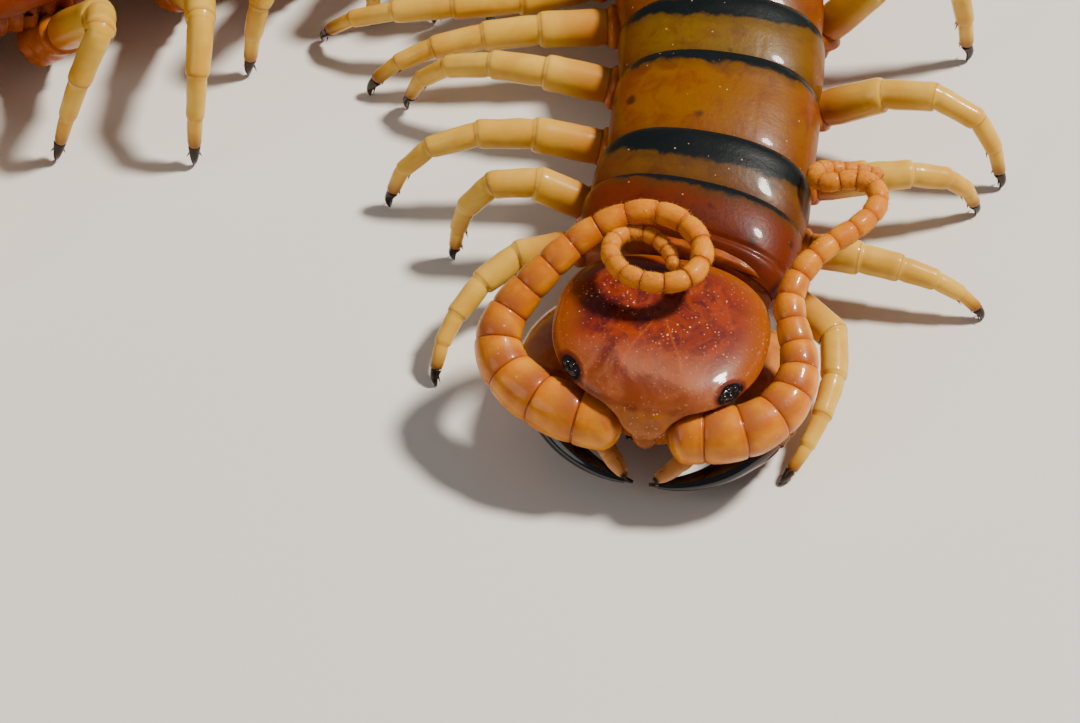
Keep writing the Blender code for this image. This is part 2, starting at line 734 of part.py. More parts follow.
# Mouthparts


def claw_point(share):
    angle = math.radians(CLAW_ANGLES[0] + (CLAW_ANGLES[1] - CLAW_ANGLES[0]) * share)
    length = CLAW_ELLIPSE[1] if angle > 0 else CLAW_BACK
    return CLAW_ELLIPSE[0] * math.cos(angle), CLAW_FORWARD + length * math.sin(angle)


def build_claw(side, name, finish):
    """A poison claw: a stout base that swells beside the head, two short articles, and a fang."""
    rings = []
    for share in CLAW_SHARES:
        x, y = claw_point(share)
        x2, y2 = claw_point(share + 0.02)
        centre = head_point(side * x, y, along(CLAW_HEIGHT, share))
        ahead = head_point(side * x2, y2, along(CLAW_HEIGHT, share + 0.02))
        pinch = 0.9 if share in CLAW_JOINTS else 1.0
        radius = along(CLAW_RADIUS, share) * pinch
        flat = 0.62 if share < 0.5 else 0.8
        rings.append(ring_round(centre, ahead - centre, radius, CLAW_SIDES, flat))
    return shown(name, loft_mesh(name, rings), finish)


def build_claw_base(finish):
    """The plate under the head that carries both poison claws, with its pair of toothed lips."""
    rings = []
    for forward, half, low, high in CLAW_BASE_STATIONS:
        rings.append([head_point(half * x, forward, low + (high - low) * z) for x, z in CLAW_BASE_SECTION])
    meshes = [loft_mesh("claw_base", rings)]
    for side in (-1, 1):
        meshes.append(loft_mesh("lip", [
            [head_point(side * (0.42 + x * wide), forward, 1.2 + z * tall)
             for x, z in ((-1, -1), (1, -1), (1, 1), (-1, 1))]
            for forward, wide, tall in LIP_STATIONS
        ]))
    return fused("claw_base", meshes, finish)


def build_palp(side, name, finish):
    """A mouth palp that curves forward from under the head to the fang tips."""
    rings = []
    for x, forward, height, radius in PALP_STATIONS:
        centre = head_point(side * x, forward, height)
        direction = head_point(side * (0.3 - 0.25 * x), 1.0, 0) - head_point(0, 0, 0)
        rings.append(ring_round(centre, direction, radius, 7, 0.72))
    return shown(name, loft_mesh(name, rings), finish)


def clear_scene():
    for piece in list(bpy.data.objects):
        bpy.data.objects.remove(piece)


def main():
    clear_scene()
    finishes = {
        "head": material("head_plate", (0.36, 0.08, 0.02), 0.3),
        "eye": material("eye_lens", (0.01, 0.01, 0.01), 0.08),
        "feeler": material("feeler_shell", (0.62, 0.24, 0.03), 0.3),
        "trunk": material("back_plate", (0.42, 0.13, 0.02), 0.28),
        "leg": material("leg_shell", (0.62, 0.36, 0.07), 0.3),
        "fang": material("fang_shell", (0.05, 0.015, 0.01), 0.12),
        "mouth": material("mouth_shell", (0.35, 0.14, 0.04), 0.3),
    }
    pieces = [build_head(finishes["head"])]
    for number in range(SEGMENTS // SEGMENTS_PER_LENGTH):
        pieces.append(build_trunk(number, finishes["trunk"]))
    pieces.append(build_claw_base(finishes["mouth"]))
    for side, word in ((1, "left"), (-1, "right")):
        pieces.append(build_eye(side, f"eye_{word}", finishes["eye"]))
        pieces.append(build_feeler(side, f"antenna_{word}", finishes["feeler"]))
        pieces.append(build_claw(side, f"forcipule_{word}", finishes["fang"]))
        pieces.append(build_palp(side, f"palp_{word}", finishes["mouth"]))
        for i in range(1, SEGMENTS + 1):
            pieces.append(build_leg(i, side, f"leg_{word}_{i:02d}", finishes["leg"]))
    centipede = bpy.data.objects.new("centipede", None)
    bpy.context.scene.collection.objects.link(centipede)
    centipede.location = CENTRING * METRES
    for piece in pieces:
        piece.parent = centipede
        piece.data.shade_smooth()
        piece.data.set_sharp_from_angle(angle=math.radians(50))


main()
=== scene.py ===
"""The looks of a giant centipede: plates, skin, legs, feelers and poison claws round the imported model.

Sizes are millimetres in the animal's own frame, and become metres, moved by CENTRING, where a mesh is
made. The floor is z = 0, the head faces -Y, and the animal's left is towards +X.
"""

import math

import bpy
import numpy as np
from mathutils import Matrix


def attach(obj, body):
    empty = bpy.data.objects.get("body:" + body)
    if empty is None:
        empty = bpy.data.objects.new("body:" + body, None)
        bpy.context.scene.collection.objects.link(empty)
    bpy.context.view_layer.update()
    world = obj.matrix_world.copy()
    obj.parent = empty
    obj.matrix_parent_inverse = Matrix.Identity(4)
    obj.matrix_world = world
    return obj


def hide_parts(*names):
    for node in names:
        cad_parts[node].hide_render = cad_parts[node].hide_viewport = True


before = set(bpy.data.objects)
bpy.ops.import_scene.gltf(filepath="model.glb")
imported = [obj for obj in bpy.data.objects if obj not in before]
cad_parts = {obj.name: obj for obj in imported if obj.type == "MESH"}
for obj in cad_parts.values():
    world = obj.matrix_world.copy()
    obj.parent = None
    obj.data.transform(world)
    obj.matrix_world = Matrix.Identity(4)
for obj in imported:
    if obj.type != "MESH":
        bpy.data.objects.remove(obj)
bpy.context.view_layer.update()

METRES = 0.001
CENTRING = np.array((29.745, -11.877, 0.0))
SIDES = ((1, "left"), (-1, "right"))
UP = np.array((0.0, 0.0, 1.0))

# The camera, from the photograph: a long lens looking down on the head.
CAMERA_ELEVATION = math.radians(48.0)
CAMERA_DISTANCE = 200.0
CAMERA_FOCUS_PX = 6800.0
IMAGE_WIDTH_PX = 1080.0
HEAD_PX = (662.0, 320.0)  # where the photograph shows the head's middle
IMAGE_MIDDLE_PX = (540.0, 361.5)

# The head
HEAD_MIDDLE = np.array((0.0, 0.25, 0.0))
HEAD_YAW = 10.0
HEAD_ROLL = 3.0
HEAD_FRONT = 3.25
HEAD_REAR = 2.85
HEAD_WIDTH = 6.4
HEAD_RIM = 3.85
EYE_SIDE = 2.36
EYE_FORWARD = 2.12
EYE_TURN = 38.0
# The head's section from its crown out to the rim and in again below: share out, height, and shift back.
HEAD_SECTION = [
    (0.0, 0.015, 4.67, 0.0), (1.0, 0.25, 4.65, 0.0), (2.0, 0.55, 4.55, 0.0), (3.0, 0.80, 4.36, 0.0),
    (4.0, 0.95, 4.10, 0.0), (4.5, 0.992, 3.94, 0.0), (4.9, 1.0, 3.83, 0.0), (5.3, 0.97, 3.71, 0.05),
    (6.0, 0.84, 3.58, 0.3), (7.0, 0.74, 3.40, 0.55), (8.0, 0.69, 2.90, 0.7), (9.0, 0.62, 2.45, 0.8),
    (10.0, 0.46, 2.33, 0.8), (11.0, 0.03, 2.33, 0.8),
]
# Between the feelers the plate runs on down into the face, and this section takes over from the other.
SNOUT_SECTION = [
    (0.0, 0.015, 4.67, 0.0), (1.0, 0.25, 4.65, 0.0), (2.0, 0.55, 4.53, 0.0), (3.0, 0.80, 4.30, 0.0),
    (4.0, 0.95, 3.98, 0.0), (4.5, 0.99, 3.80, 0.0), (4.9, 1.012, 3.64, 0.0), (5.3, 1.03, 3.46, 0.0),
    (6.0, 1.048, 3.18, 0.0), (7.0, 1.035, 2.84, 0.0), (8.0, 0.975, 2.58, 0.0), (9.0, 0.85, 2.42, 0.3),
    (10.0, 0.46, 2.33, 0.8), (11.0, 0.03, 2.33, 0.8),
]

# The trunk
SEGMENTS = 21
LONG_SEGMENTS = {3, 5, 7, 8, 10, 12, 14, 16, 18, 20}
TRUNK_START = 2.85
TRUNK_HEADING = [(0, 17), (3, 11), (6, 7), (9, 3), (12, -5), (15, -23), (18, -44), (21, -65), (24, -84),
                 (27, -99), (30, -110), (33, -115), (38, -117), (44, -117), (52, -119), (60, -124),
                 (68, -119), (76, -106), (84, -97)]
TRUNK_WIDTH = [(0, 6.45), (2, 6.75), (4.5, 6.45), (8, 6.35), (14, 6.6), (30, 7.4), (55, 7.4), (70, 6.8),
               (84, 5.6)]
TRUNK_TOP = [(0, 4.85), (4, 5.05), (30, 5.45), (60, 5.4), (84, 4.7)]
TRUNK_ROLL = [(0, 3), (4, 6), (10, 4), (18, 0), (84, 0)]
BELLY = 1.25
PLATE_EDGE = 3.35
MIDDLE_HEIGHT = 3.0
# How wide the dark band at each plate's rear is: in the middle and at the sides.
FIRST_BANDS = {1: (0.28, 0.12), 2: (0.98, 0.55), 3: (0.46, 0.34), 4: (0.80, 0.40), 5: (0.5, 0.34)}

# Legs
LEG_ARTICLES = [0.25, 0.21, 0.19, 0.15, 0.11, 0.09]
LEG_RADII = [(0.61, 0.57), (0.51, 0.47), (0.42, 0.37), (0.33, 0.28), (0.25, 0.21), (0.17, 0.12)]
LEG_LENGTH = [(1, 6.7), (2, 7.1), (3, 8.2), (5, 9.0), (10, 9.6), (16, 10.0), (20, 11.0), (21, 15.0)]
LEG_SWEEP = [(1, 38), (3, 12), (8, 4), (14, -8), (18, -24), (20, -42), (21, -74)]
LEG_SCALE = [(1, 0.92), (4, 1.0), (10, 1.08), (18, 1.08), (20, 1.1), (21, 1.5)]
LEG_REACH = 0.66
STEP_SWEEP = 13.0
STEPS_PER_WAVE = 6.5
LEG_SIDES = 20
ROOT_HEIGHT = 2.2
FEET = {
    (-1, 1): (-6.7, 1.5), (-1, 2): (-6.2, 6.7), (-1, 3): (-8.2, 8.9), (-1, 4): (-7.7, 13.1),
    (-1, 5): (-8.9, 13.7), (-1, 6): (-10.4, 16.1), (-1, 7): (-5.1, 16.8), (-1, 8): (-6.9, 16.9),
    (-1, 9): (-8.9, 16.8), (-1, 10): (-12.7, 14.6), (-1, 11): (-14.3, 10.7), (-1, 12): (-18.6, 10.9),
    (-1, 13): (-20.9, 5.2),
    (1, 1): (3.5, -2.4), (1, 2): (9.8, 4.2), (1, 3): (9.8, 8.6), (1, 4): (10.6, 9.7),
    (1, 5): (9.8, 15.2),
}
BOWS = {(1, 1): 0.25, (-1, 6): -0.7, (-1, 12): -1.9}
LENGTHS = {
    (1, 1): 6.2, (1, 2): 6.05, (1, 3): 6.3, (1, 4): 8.0, (-1, 1): 6.3, (-1, 2): 6.5, (-1, 4): 8.0,
    (-1, 5): 8.4, (-1, 6): 9.9, (-1, 7): 7.2, (-1, 8): 7.2, (-1, 9): 7.4, (-1, 10): 8.6,
}

# Feelers
FEELER_ARTICLES = {-1: 27, 1: 25}
FEELER_LENGTH = {-1: 21.2, 1: 17.2}
FEELER_HEADING = {
    -1: [(0, -86), (1.8, -66), (4.2, -28), (5.4, 22), (6.4, 48), (8.5, 57), (10.5, 82), (12.3, 131),
         (13.9, 194), (15.3, 264), (16.8, 319), (18.4, 390), (19.7, 481), (21.2, 545)],
    1: [(0, 84), (1.3, 92), (2.5, 68), (3.8, 37), (5, 6), (6, -13), (6.9, -4), (7.7, 24), (10, 52),
        (11.5, 25), (12.3, -23), (13.0, -78), (13.6, -98), (14.1, -55), (14.7, 8), (15.4, 66),
        (16.2, 92), (17.2, 112)],
}
FEELER_HEIGHT = {
    -1: [(0, 2.68), (4, 3.15), (6, 4.0), (8.1, 5.0), (11, 5.95), (14, 5.85), (17.2, 5.75), (19.4, 5.4),
         (21.2, 5.25)],
    1: [(0, 2.58), (3.2, 2.85), (5.5, 3.5), (7.3, 4.1), (8.9, 4.5), (11, 4.65), (13.6, 4.6), (14.8, 4.25),
        (15.8, 3.9), (17.2, 3.75)],
}
FEELER_RADIUS = [(0, 0.80), (0.08, 0.85), (0.22, 0.70), (0.33, 0.53), (0.43, 0.43), (0.52, 0.36),
                 (0.66, 0.325), (0.8, 0.29), (0.92, 0.25), (1, 0.2)]
ARTICLE_LENGTH = [(0, 1.45), (2, 1.4), (4, 1.05), (11, 1.0), (16, 0.72), (26, 0.45)]  # in proportion
FEELER_ROOT_SIDE = 0.68
FEELER_ROOT_FORWARD = {-1: 2.84, 1: 3.0}
SMOOTH_ARTICLES = 9  # the first articles are bare and glossy, and the rest are finely haired

# Poison claws
CLAW_ELLIPSE = (3.35, 2.95)
CLAW_FORWARD = 0.55
CLAW_BACK = 4.1
CLAW_ANGLES = (-46.0, 86.0)
CLAW_RADIUS = [(0, 0.75), (0.12, 1.0), (0.25, 1.08), (0.36, 0.95), (0.44, 0.8), (0.5, 0.68), (0.6, 0.5),
               (0.75, 0.36), (0.9, 0.22), (1, 0.07)]
CLAW_HEIGHT = [(0, 1.6), (0.4, 1.5), (0.7, 1.15), (1, 0.95)]
# A palp's line: how far left and forward, how high, and its radius.
PALP_STATIONS = ((1.32, 1.5, 1.72, 0.24), (1.42, 2.0, 1.6, 0.27), (1.28, 2.6, 1.52, 0.29),
                 (0.95, 3.12, 1.5, 0.29), (0.58, 3.6, 1.48, 0.20), (0.42, 3.78, 1.46, 0.08))


# Curves and frames


def along(knots, x):
    """The smooth curve through the knots, as a cubic with each knot's slope taken from its neighbours."""
    xs, ys = np.array(knots, float).T
    x = np.clip(np.asarray(x, float), xs[0], xs[-1])
    last = len(xs) - 1
    before, after = np.maximum(np.arange(last + 1) - 1, 0), np.minimum(np.arange(last + 1) + 1, last)
    slopes = (ys[after] - ys[before]) / (xs[after] - xs[before])
    i = np.clip(np.searchsorted(xs, x, side="left") - 1, 0, last - 1)
    span = xs[i + 1] - xs[i]
    t = (x - xs[i]) / span
    return (
        ys[i] * (1 + 2 * t) * (1 - t) ** 2
        + ys[i + 1] * t * t * (3 - 2 * t)
        + span * t * (1 - t) * (slopes[i] * (1 - t) - slopes[i + 1] * t)
    )


def heading(degrees):
    turned = np.radians(degrees)
    return np.stack([np.sin(turned), np.cos(turned), np.zeros_like(turned)], -1)


def unit(vectors):
    return vectors / np.maximum(np.linalg.norm(vectors, axis=-1, keepdims=True), 1e-12)


def smooth(low, high, x):
    t = np.clip((x - low) / (high - low), 0, 1)
    return t * t * (3 - 2 * t)


def bump(x, middle, width):
    return np.exp(-(((x - middle) / width) ** 2))


def waves(points, period, seed, count=14):
    """A soft random field about -1 to 1 over points: a few sine waves in seeded directions."""
    random = np.random.default_rng(seed)
    total = np.zeros(points.shape[:-1])
    for _ in range(count):
        direction = unit(random.normal(size=3)) * (2 * math.pi / period * random.uniform(0.5, 1.4))
        total += np.sin(points @ direction + random.uniform(0, 2 * math.pi))
    return total / math.sqrt(count)


HEAD_FORWARD = -heading(HEAD_YAW)
HEAD_LEFT = np.array((-HEAD_FORWARD[1], HEAD_FORWARD[0], 0.0))


def head_point(left_by, forward_by, height):
    left_by, forward_by, height = np.broadcast_arrays(left_by, forward_by, height)
    drop = left_by * math.tan(math.radians(HEAD_ROLL))
    return (
        HEAD_MIDDLE
        + HEAD_LEFT * left_by[..., None]
        + HEAD_FORWARD * forward_by[..., None]
        + UP * (height - drop)[..., None]
    )


def walk(start, knots, step, count):
    """Positions along a plan curve given by its heading, one for each step."""
    steps = heading(along(knots, (np.arange(count) + 0.5) * step)) * step
    return start + np.concatenate([np.zeros((1, 3)), np.cumsum(steps, 0)])


TRUNK_STEP = 0.1
TRUNK_LINE = walk(HEAD_MIDDLE - HEAD_FORWARD * TRUNK_START, TRUNK_HEADING, TRUNK_STEP,
                  int(TRUNK_HEADING[-1][0] / TRUNK_STEP) + 10)


def trunk_frame(s):
    """The middle line's plan position, its direction to the tail, and the animal's left."""
    s = np.asarray(s, float)
    steps = np.arange(len(TRUNK_LINE)) * TRUNK_STEP
    place = np.stack([np.interp(s, steps, TRUNK_LINE[:, axis]) for axis in range(3)], -1)
    tailward = heading(along(TRUNK_HEADING, s))
    place = place + tailward * np.minimum(s, 0.0)[..., None]
    return place, tailward, np.stack([tailward[..., 1], -tailward[..., 0], np.zeros_like(s)], -1)


def trunk_point(s, left_by, height):
    """A point on the trunk, which rolls about its middle height."""
    s, left_by, height = np.broadcast_arrays(np.asarray(s, float), left_by, height)
    place, _, left = trunk_frame(s)
    roll = np.radians(along(TRUNK_ROLL, s))
    rise = height - MIDDLE_HEIGHT
    across = left_by * np.cos(roll) + rise * np.sin(roll)
    up = rise * np.cos(roll) - left_by * np.sin(roll)
    return place + left * across[..., None] + UP * (MIDDLE_HEIGHT + up)[..., None]


def segment_length(i):
    full = 2.65 + 2.3 * min(1.0, (i - 1) / 9) ** 0.8
    if i == 1:
        return 2.15
    if i >= 20:
        return 4.4 if i == 20 else 3.3
    return full if i in LONG_SEGMENTS else full * (0.63 + 0.009 * i)


SEGMENT_STARTS = np.concatenate([[0.0], np.cumsum([segment_length(i) for i in range(1, SEGMENTS + 1)])])


# Meshes: a form is its points, its faces, and a mark of three numbers for each point


def grid_faces(rows, columns, closed):
    index = np.arange(rows * columns).reshape(rows, columns)
    right = np.roll(index, -1, 1) if closed else index[:, 1:]
    left = index if closed else index[:, :-1]
    return np.stack([left[:-1], right[:-1], right[1:], left[1:]], -1).reshape(-1, 4).tolist()


def outward(points, faces):
    """The faces of a closed form, turned to face out."""
    corners = np.array([face[:3] for face in faces])
    rest = np.array([[face[0], face[2], face[-1]] for face in faces])
    middle = points.mean(0)
    volume = 0.0
    for three in (corners, rest):
        a, b, c = (points[three[:, k]] - middle for k in range(3))
        volume += float((a * np.cross(b, c)).sum())
    return faces if volume > 0 else [face[::-1] for face in faces]


def tube(rings, marks):
    """A closed form through rings of points."""
    rows, columns = rings.shape[:2]
    points = np.concatenate([rings.reshape(-1, 3), rings[:1].mean(1), rings[-1:].mean(1)])
    marks = np.concatenate([marks.reshape(-1, 3), marks[:1].mean(1), marks[-1:].mean(1)])
    faces = grid_faces(rows, columns, True)
    for end, centre in ((0, rows * columns), (rows - 1, rows * columns + 1)):
        for k in range(columns):
            ring = [end * columns + k, end * columns + (k + 1) % columns]
            faces.append([centre, *(ring[::-1] if end == 0 else ring)])
    return points, outward(points, faces), marks


def shell(top, bottom, marks):
    """A closed plate between two open grids of points."""
    rows, columns = top.shape[:2]
    count = rows * columns
    points = np.concatenate([top.reshape(-1, 3), bottom.reshape(-1, 3)])
    faces = grid_faces(rows, columns, False)
    faces += [[k + count for k in face[::-1]] for face in grid_faces(rows, columns, False)]
    index = np.arange(count).reshape(rows, columns)
    border = np.concatenate([index[0, :-1], index[:-1, -1], index[-1, :0:-1], index[:0:-1, 0]])
    for a, b in zip(border, np.roll(border, -1)):
        faces.append([int(b), int(a), int(a) + count, int(b) + count])
    return points, outward(points, faces), np.concatenate([marks.reshape(-1, 3)] * 2)


def joined(forms):
    points, faces, marks = [], [], []
    start = 0
    for form_points, form_faces, form_marks in forms:
        points.append(form_points)
        marks.append(form_marks)
        faces += [[k + start for k in face] for face in form_faces]
        start += len(form_points)
    return np.concatenate(points), faces, np.concatenate(marks)


def piece(name, form, finish, slot, *nodes):
    """An object of the model from a form in millimetres."""
    points, faces, marks = form
    mesh = bpy.data.meshes.new(name)
    mesh.from_pydata(((points + CENTRING) * METRES).tolist(), [], faces)
    layer = mesh.attributes.new("mark", "FLOAT_VECTOR", "POINT")
    layer.data.foreach_set("vector", marks.astype(np.float32).ravel())
    mesh.shade_smooth()
    mesh.materials.append(finish)
    made = bpy.data.objects.new(name, mesh)
    bpy.context.scene.collection.objects.link(made)
    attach(made, "root")
    if nodes:
        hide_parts(*nodes)
    return made


def circle(count):
    angles = 2 * math.pi * np.arange(count) / count
    return np.cos(angles), np.sin(angles)


def swept(centres, radii, reference, sides, flat=1.0):
    """Rings round a line; the first point of each lies towards the reference, and flat squeezes that way."""
    tangents = unit(np.gradient(centres, axis=0))
    reference = np.broadcast_to(np.asarray(reference, float), centres.shape)
    one = unit(reference - tangents * (reference * tangents).sum(-1, keepdims=True))
    two = np.cross(tangents, one)
    cosines, sines = circle(sides)
    radii = np.broadcast_to(radii, (len(centres),))
    flat = np.broadcast_to(flat, (len(centres),))
    return (
        centres[:, None]
        + one[:, None] * (cosines[None, :, None] * (radii * flat)[:, None, None])
        + two[:, None] * (sines[None, :, None] * radii[:, None, None])
    )


def raised(rings, centres, relief):
    """Rings moved out from their centres by a relief."""
    return rings + unit(rings - centres) * relief[..., None]


def ring_marks(first, second, sides, third=0.0):
    """Marks for rings: one number for the ring, the height round it from -1 to 1, and one more."""
    rows = len(first)
    cosines, _ = circle(sides)
    return np.stack([
        np.broadcast_to(np.asarray(first)[:, None], (rows, sides)),
        np.broadcast_to(cosines if second is None else second, (rows, sides)),
        np.broadcast_to(np.asarray(third)[..., None] if np.ndim(third) else third, (rows, sides)),
    ], -1)


def spike(root, direction, length, radius, sides=5, bend=None, rows=5):
    """A closed cone that may bend on its way to the tip."""
    t = np.linspace(0, 1, rows)
    centres = root + direction * (length * t)[:, None]
    if bend is not None:
        centres = centres + bend * (t ** 2)[:, None]
    reference = np.cross(direction, (0.31, 0.52, 0.8))
    rings = swept(centres, radius * (1 - 0.94 * t ** 1.4), reference, sides)
    return tube(rings, ring_marks(t, 0.0, sides))


# Materials


def new_material(name, **sockets):
    made = bpy.data.materials.new(name)
    made.use_nodes = True
    shader = made.node_tree.nodes["Principled BSDF"]
    for socket, value in sockets.items():
        shader.inputs[socket.replace("_", " ")].default_value = value
    return made, made.node_tree, shader


def add(tree, kind, inputs=None, **settings):
    """A node with its sockets linked or set."""
    node = tree.nodes.new("ShaderNode" + kind)
    for name, value in settings.items():
        setattr(node, name, value)
    for name, value in (inputs or {}).items():
        if isinstance(value, bpy.types.NodeSocket):
            tree.links.new(value, node.inputs[name])
        else:
            node.inputs[name].default_value = value
    return node


def place_mm(tree):
    """The point in millimetres, moving with the piece."""
    place = add(tree, "TexCoord").outputs["Object"]
    return add(tree, "VectorMath", {0: place, 1: (1000.0,) * 3}, operation="MULTIPLY").outputs[0]


def noise(tree, place, per_mm, detail=3.0, roughness=0.55, distortion=0.0):
    inputs = {"Vector": place, "Scale": per_mm, "Detail": detail, "Roughness": roughness,
              "Distortion": distortion}
    return add(tree, "TexNoise", inputs).outputs["Fac"]


def between(tree, value, low, high):
    """0 below low and 1 above high, or the reverse if low is the larger."""
    inputs = {"Value": value, "From Min": low, "From Max": high, "To Min": 0.0, "To Max": 1.0}
    if low > high:
        inputs.update({"From Min": high, "From Max": low, "To Min": 1.0, "To Max": 0.0})
    return add(tree, "MapRange", inputs, interpolation_type="SMOOTHSTEP").outputs["Result"]


def calc(tree, operation, a, b=0.0):
    return add(tree, "Math", {0: a, 1: b}, operation=operation).outputs[0]


def times(tree, a, b):
    return calc(tree, "MULTIPLY", a, b)


def mix(tree, share, a, b):
    """Colour a turned to colour b by a share."""
    node = tree.nodes.new("ShaderNodeMix")
    node.data_type = "RGBA"
    sockets = {i.identifier: i for i in node.inputs}
    for identifier, value in (("Factor_Float", share), ("A_Color", a), ("B_Color", b)):
        if isinstance(value, bpy.types.NodeSocket):
            tree.links.new(value, sockets[identifier])
        elif isinstance(value, tuple):
            sockets[identifier].default_value = (*value, 1.0)
        else:
            sockets[identifier].default_value = value
    return next(o for o in node.outputs if o.identifier == "Result_Color")


def mark_parts(tree):
    """The three numbers that a piece's points carry."""
    mark = add(tree, "Attribute", attribute_name="mark", attribute_type="GEOMETRY")
    parts = add(tree, "SeparateXYZ", {0: mark.outputs["Vector"]})
    return parts.outputs["X"], parts.outputs["Y"], parts.outputs["Z"]


def specks(tree, place, per_mm, size, share):
    """Pale grains of dust: 1 on a grain. The share is how many cells hold one, 0 to 1."""
    cells = add(tree, "TexVoronoi", {"Vector": place, "Scale": per_mm, "Randomness": 1.0})
    inside = between(tree, cells.outputs["Distance"], size, size * 0.6)
    chosen = add(tree, "SeparateColor", {0: cells.outputs["Color"]}).outputs[0]
    picked = calc(tree, "LESS_THAN", chosen, share)
    return times(tree, inside, picked)


def finish_shell(tree, shader, colour, roughness, height, strength, distance):
    """Links the colour, roughness and bump of a shell."""
    tree.links.new(colour, shader.inputs["Base Color"])
    if isinstance(roughness, bpy.types.NodeSocket):
        tree.links.new(roughness, shader.inputs["Roughness"])
    else:
        shader.inputs["Roughness"].default_value = roughness
    relief = add(tree, "Bump", {"Height": height, "Strength": strength, "Distance": distance * METRES})
    tree.links.new(relief.outputs["Normal"], shader.inputs["Normal"])


BAND = (0.004, 0.006, 0.006)
# A back plate's colours: the main one, its patches, the red flanks, and the front.
BACK_COLOURS = {
    "first": ((0.110, 0.014, 0.001), (0.060, 0.005, 0.001), (0.15, 0.022, 0.001), (0.12, 0.018, 0.004)),
    "second": ((0.115, 0.042, 0.005), (0.07, 0.016, 0.002), (0.14, 0.024, 0.002), (0.09, 0.020, 0.002)),
    "long": ((0.185, 0.062, 0.0008), (0.125, 0.022, 0.0008), (0.19, 0.018, 0.001), (0.14, 0.032, 0.001)),
    "short": ((0.145, 0.070, 0.003), (0.10, 0.032, 0.001), (0.16, 0.030, 0.001), (0.08, 0.028, 0.002)),
}
AMBER = (0.72, 0.27, 0.0002)
DEEP_AMBER = (0.56, 0.155, 0.0002)
OCHRE = (0.76, 0.48, 0.060)
DEEP_OCHRE = (0.62, 0.330, 0.022)
CHITIN = dict(IOR=1.45, Specular_IOR_Level=0.16, Subsurface_Radius=(1.0, 0.36, 0.12),
              Subsurface_Anisotropy=0.4, Coat_Roughness=0.07, Coat_IOR=1.45)


def chitin(name, weight, depth_mm, coat):
    """A new material of shell: how much light goes in, how deep, and how much gloss lies on it."""
    made, tree, shader = new_material(name, Subsurface_Weight=weight, Subsurface_Scale=depth_mm * METRES,
                                      Coat_Weight=coat, **CHITIN)
    return made, tree, shader, place_mm(tree)


def head_forward(tree, place):
    """How far forward a point is in the head's own frame, in millimetres."""
    way = HEAD_FORWARD
    share = add(tree, "VectorMath", {0: place, 1: tuple(way)}, operation="DOT_PRODUCT").outputs["Value"]
    return calc(tree, "SUBTRACT", share, float((HEAD_MIDDLE + CENTRING) @ way))


def warped(tree, place, per_mm, amount):
    """The place moved about by a noise."""
    drift = add(tree, "TexNoise", {"Vector": place, "Scale": per_mm, "Detail": 2.0}).outputs["Color"]
    moved = add(tree, "VectorMath", {0: drift, 1: (0.5,) * 3}, operation="SUBTRACT").outputs[0]
    moved = add(tree, "VectorMath", {0: moved, 1: (amount,) * 3}, operation="MULTIPLY").outputs[0]
    return add(tree, "VectorMath", {0: place, 1: moved}, operation="ADD").outputs[0]


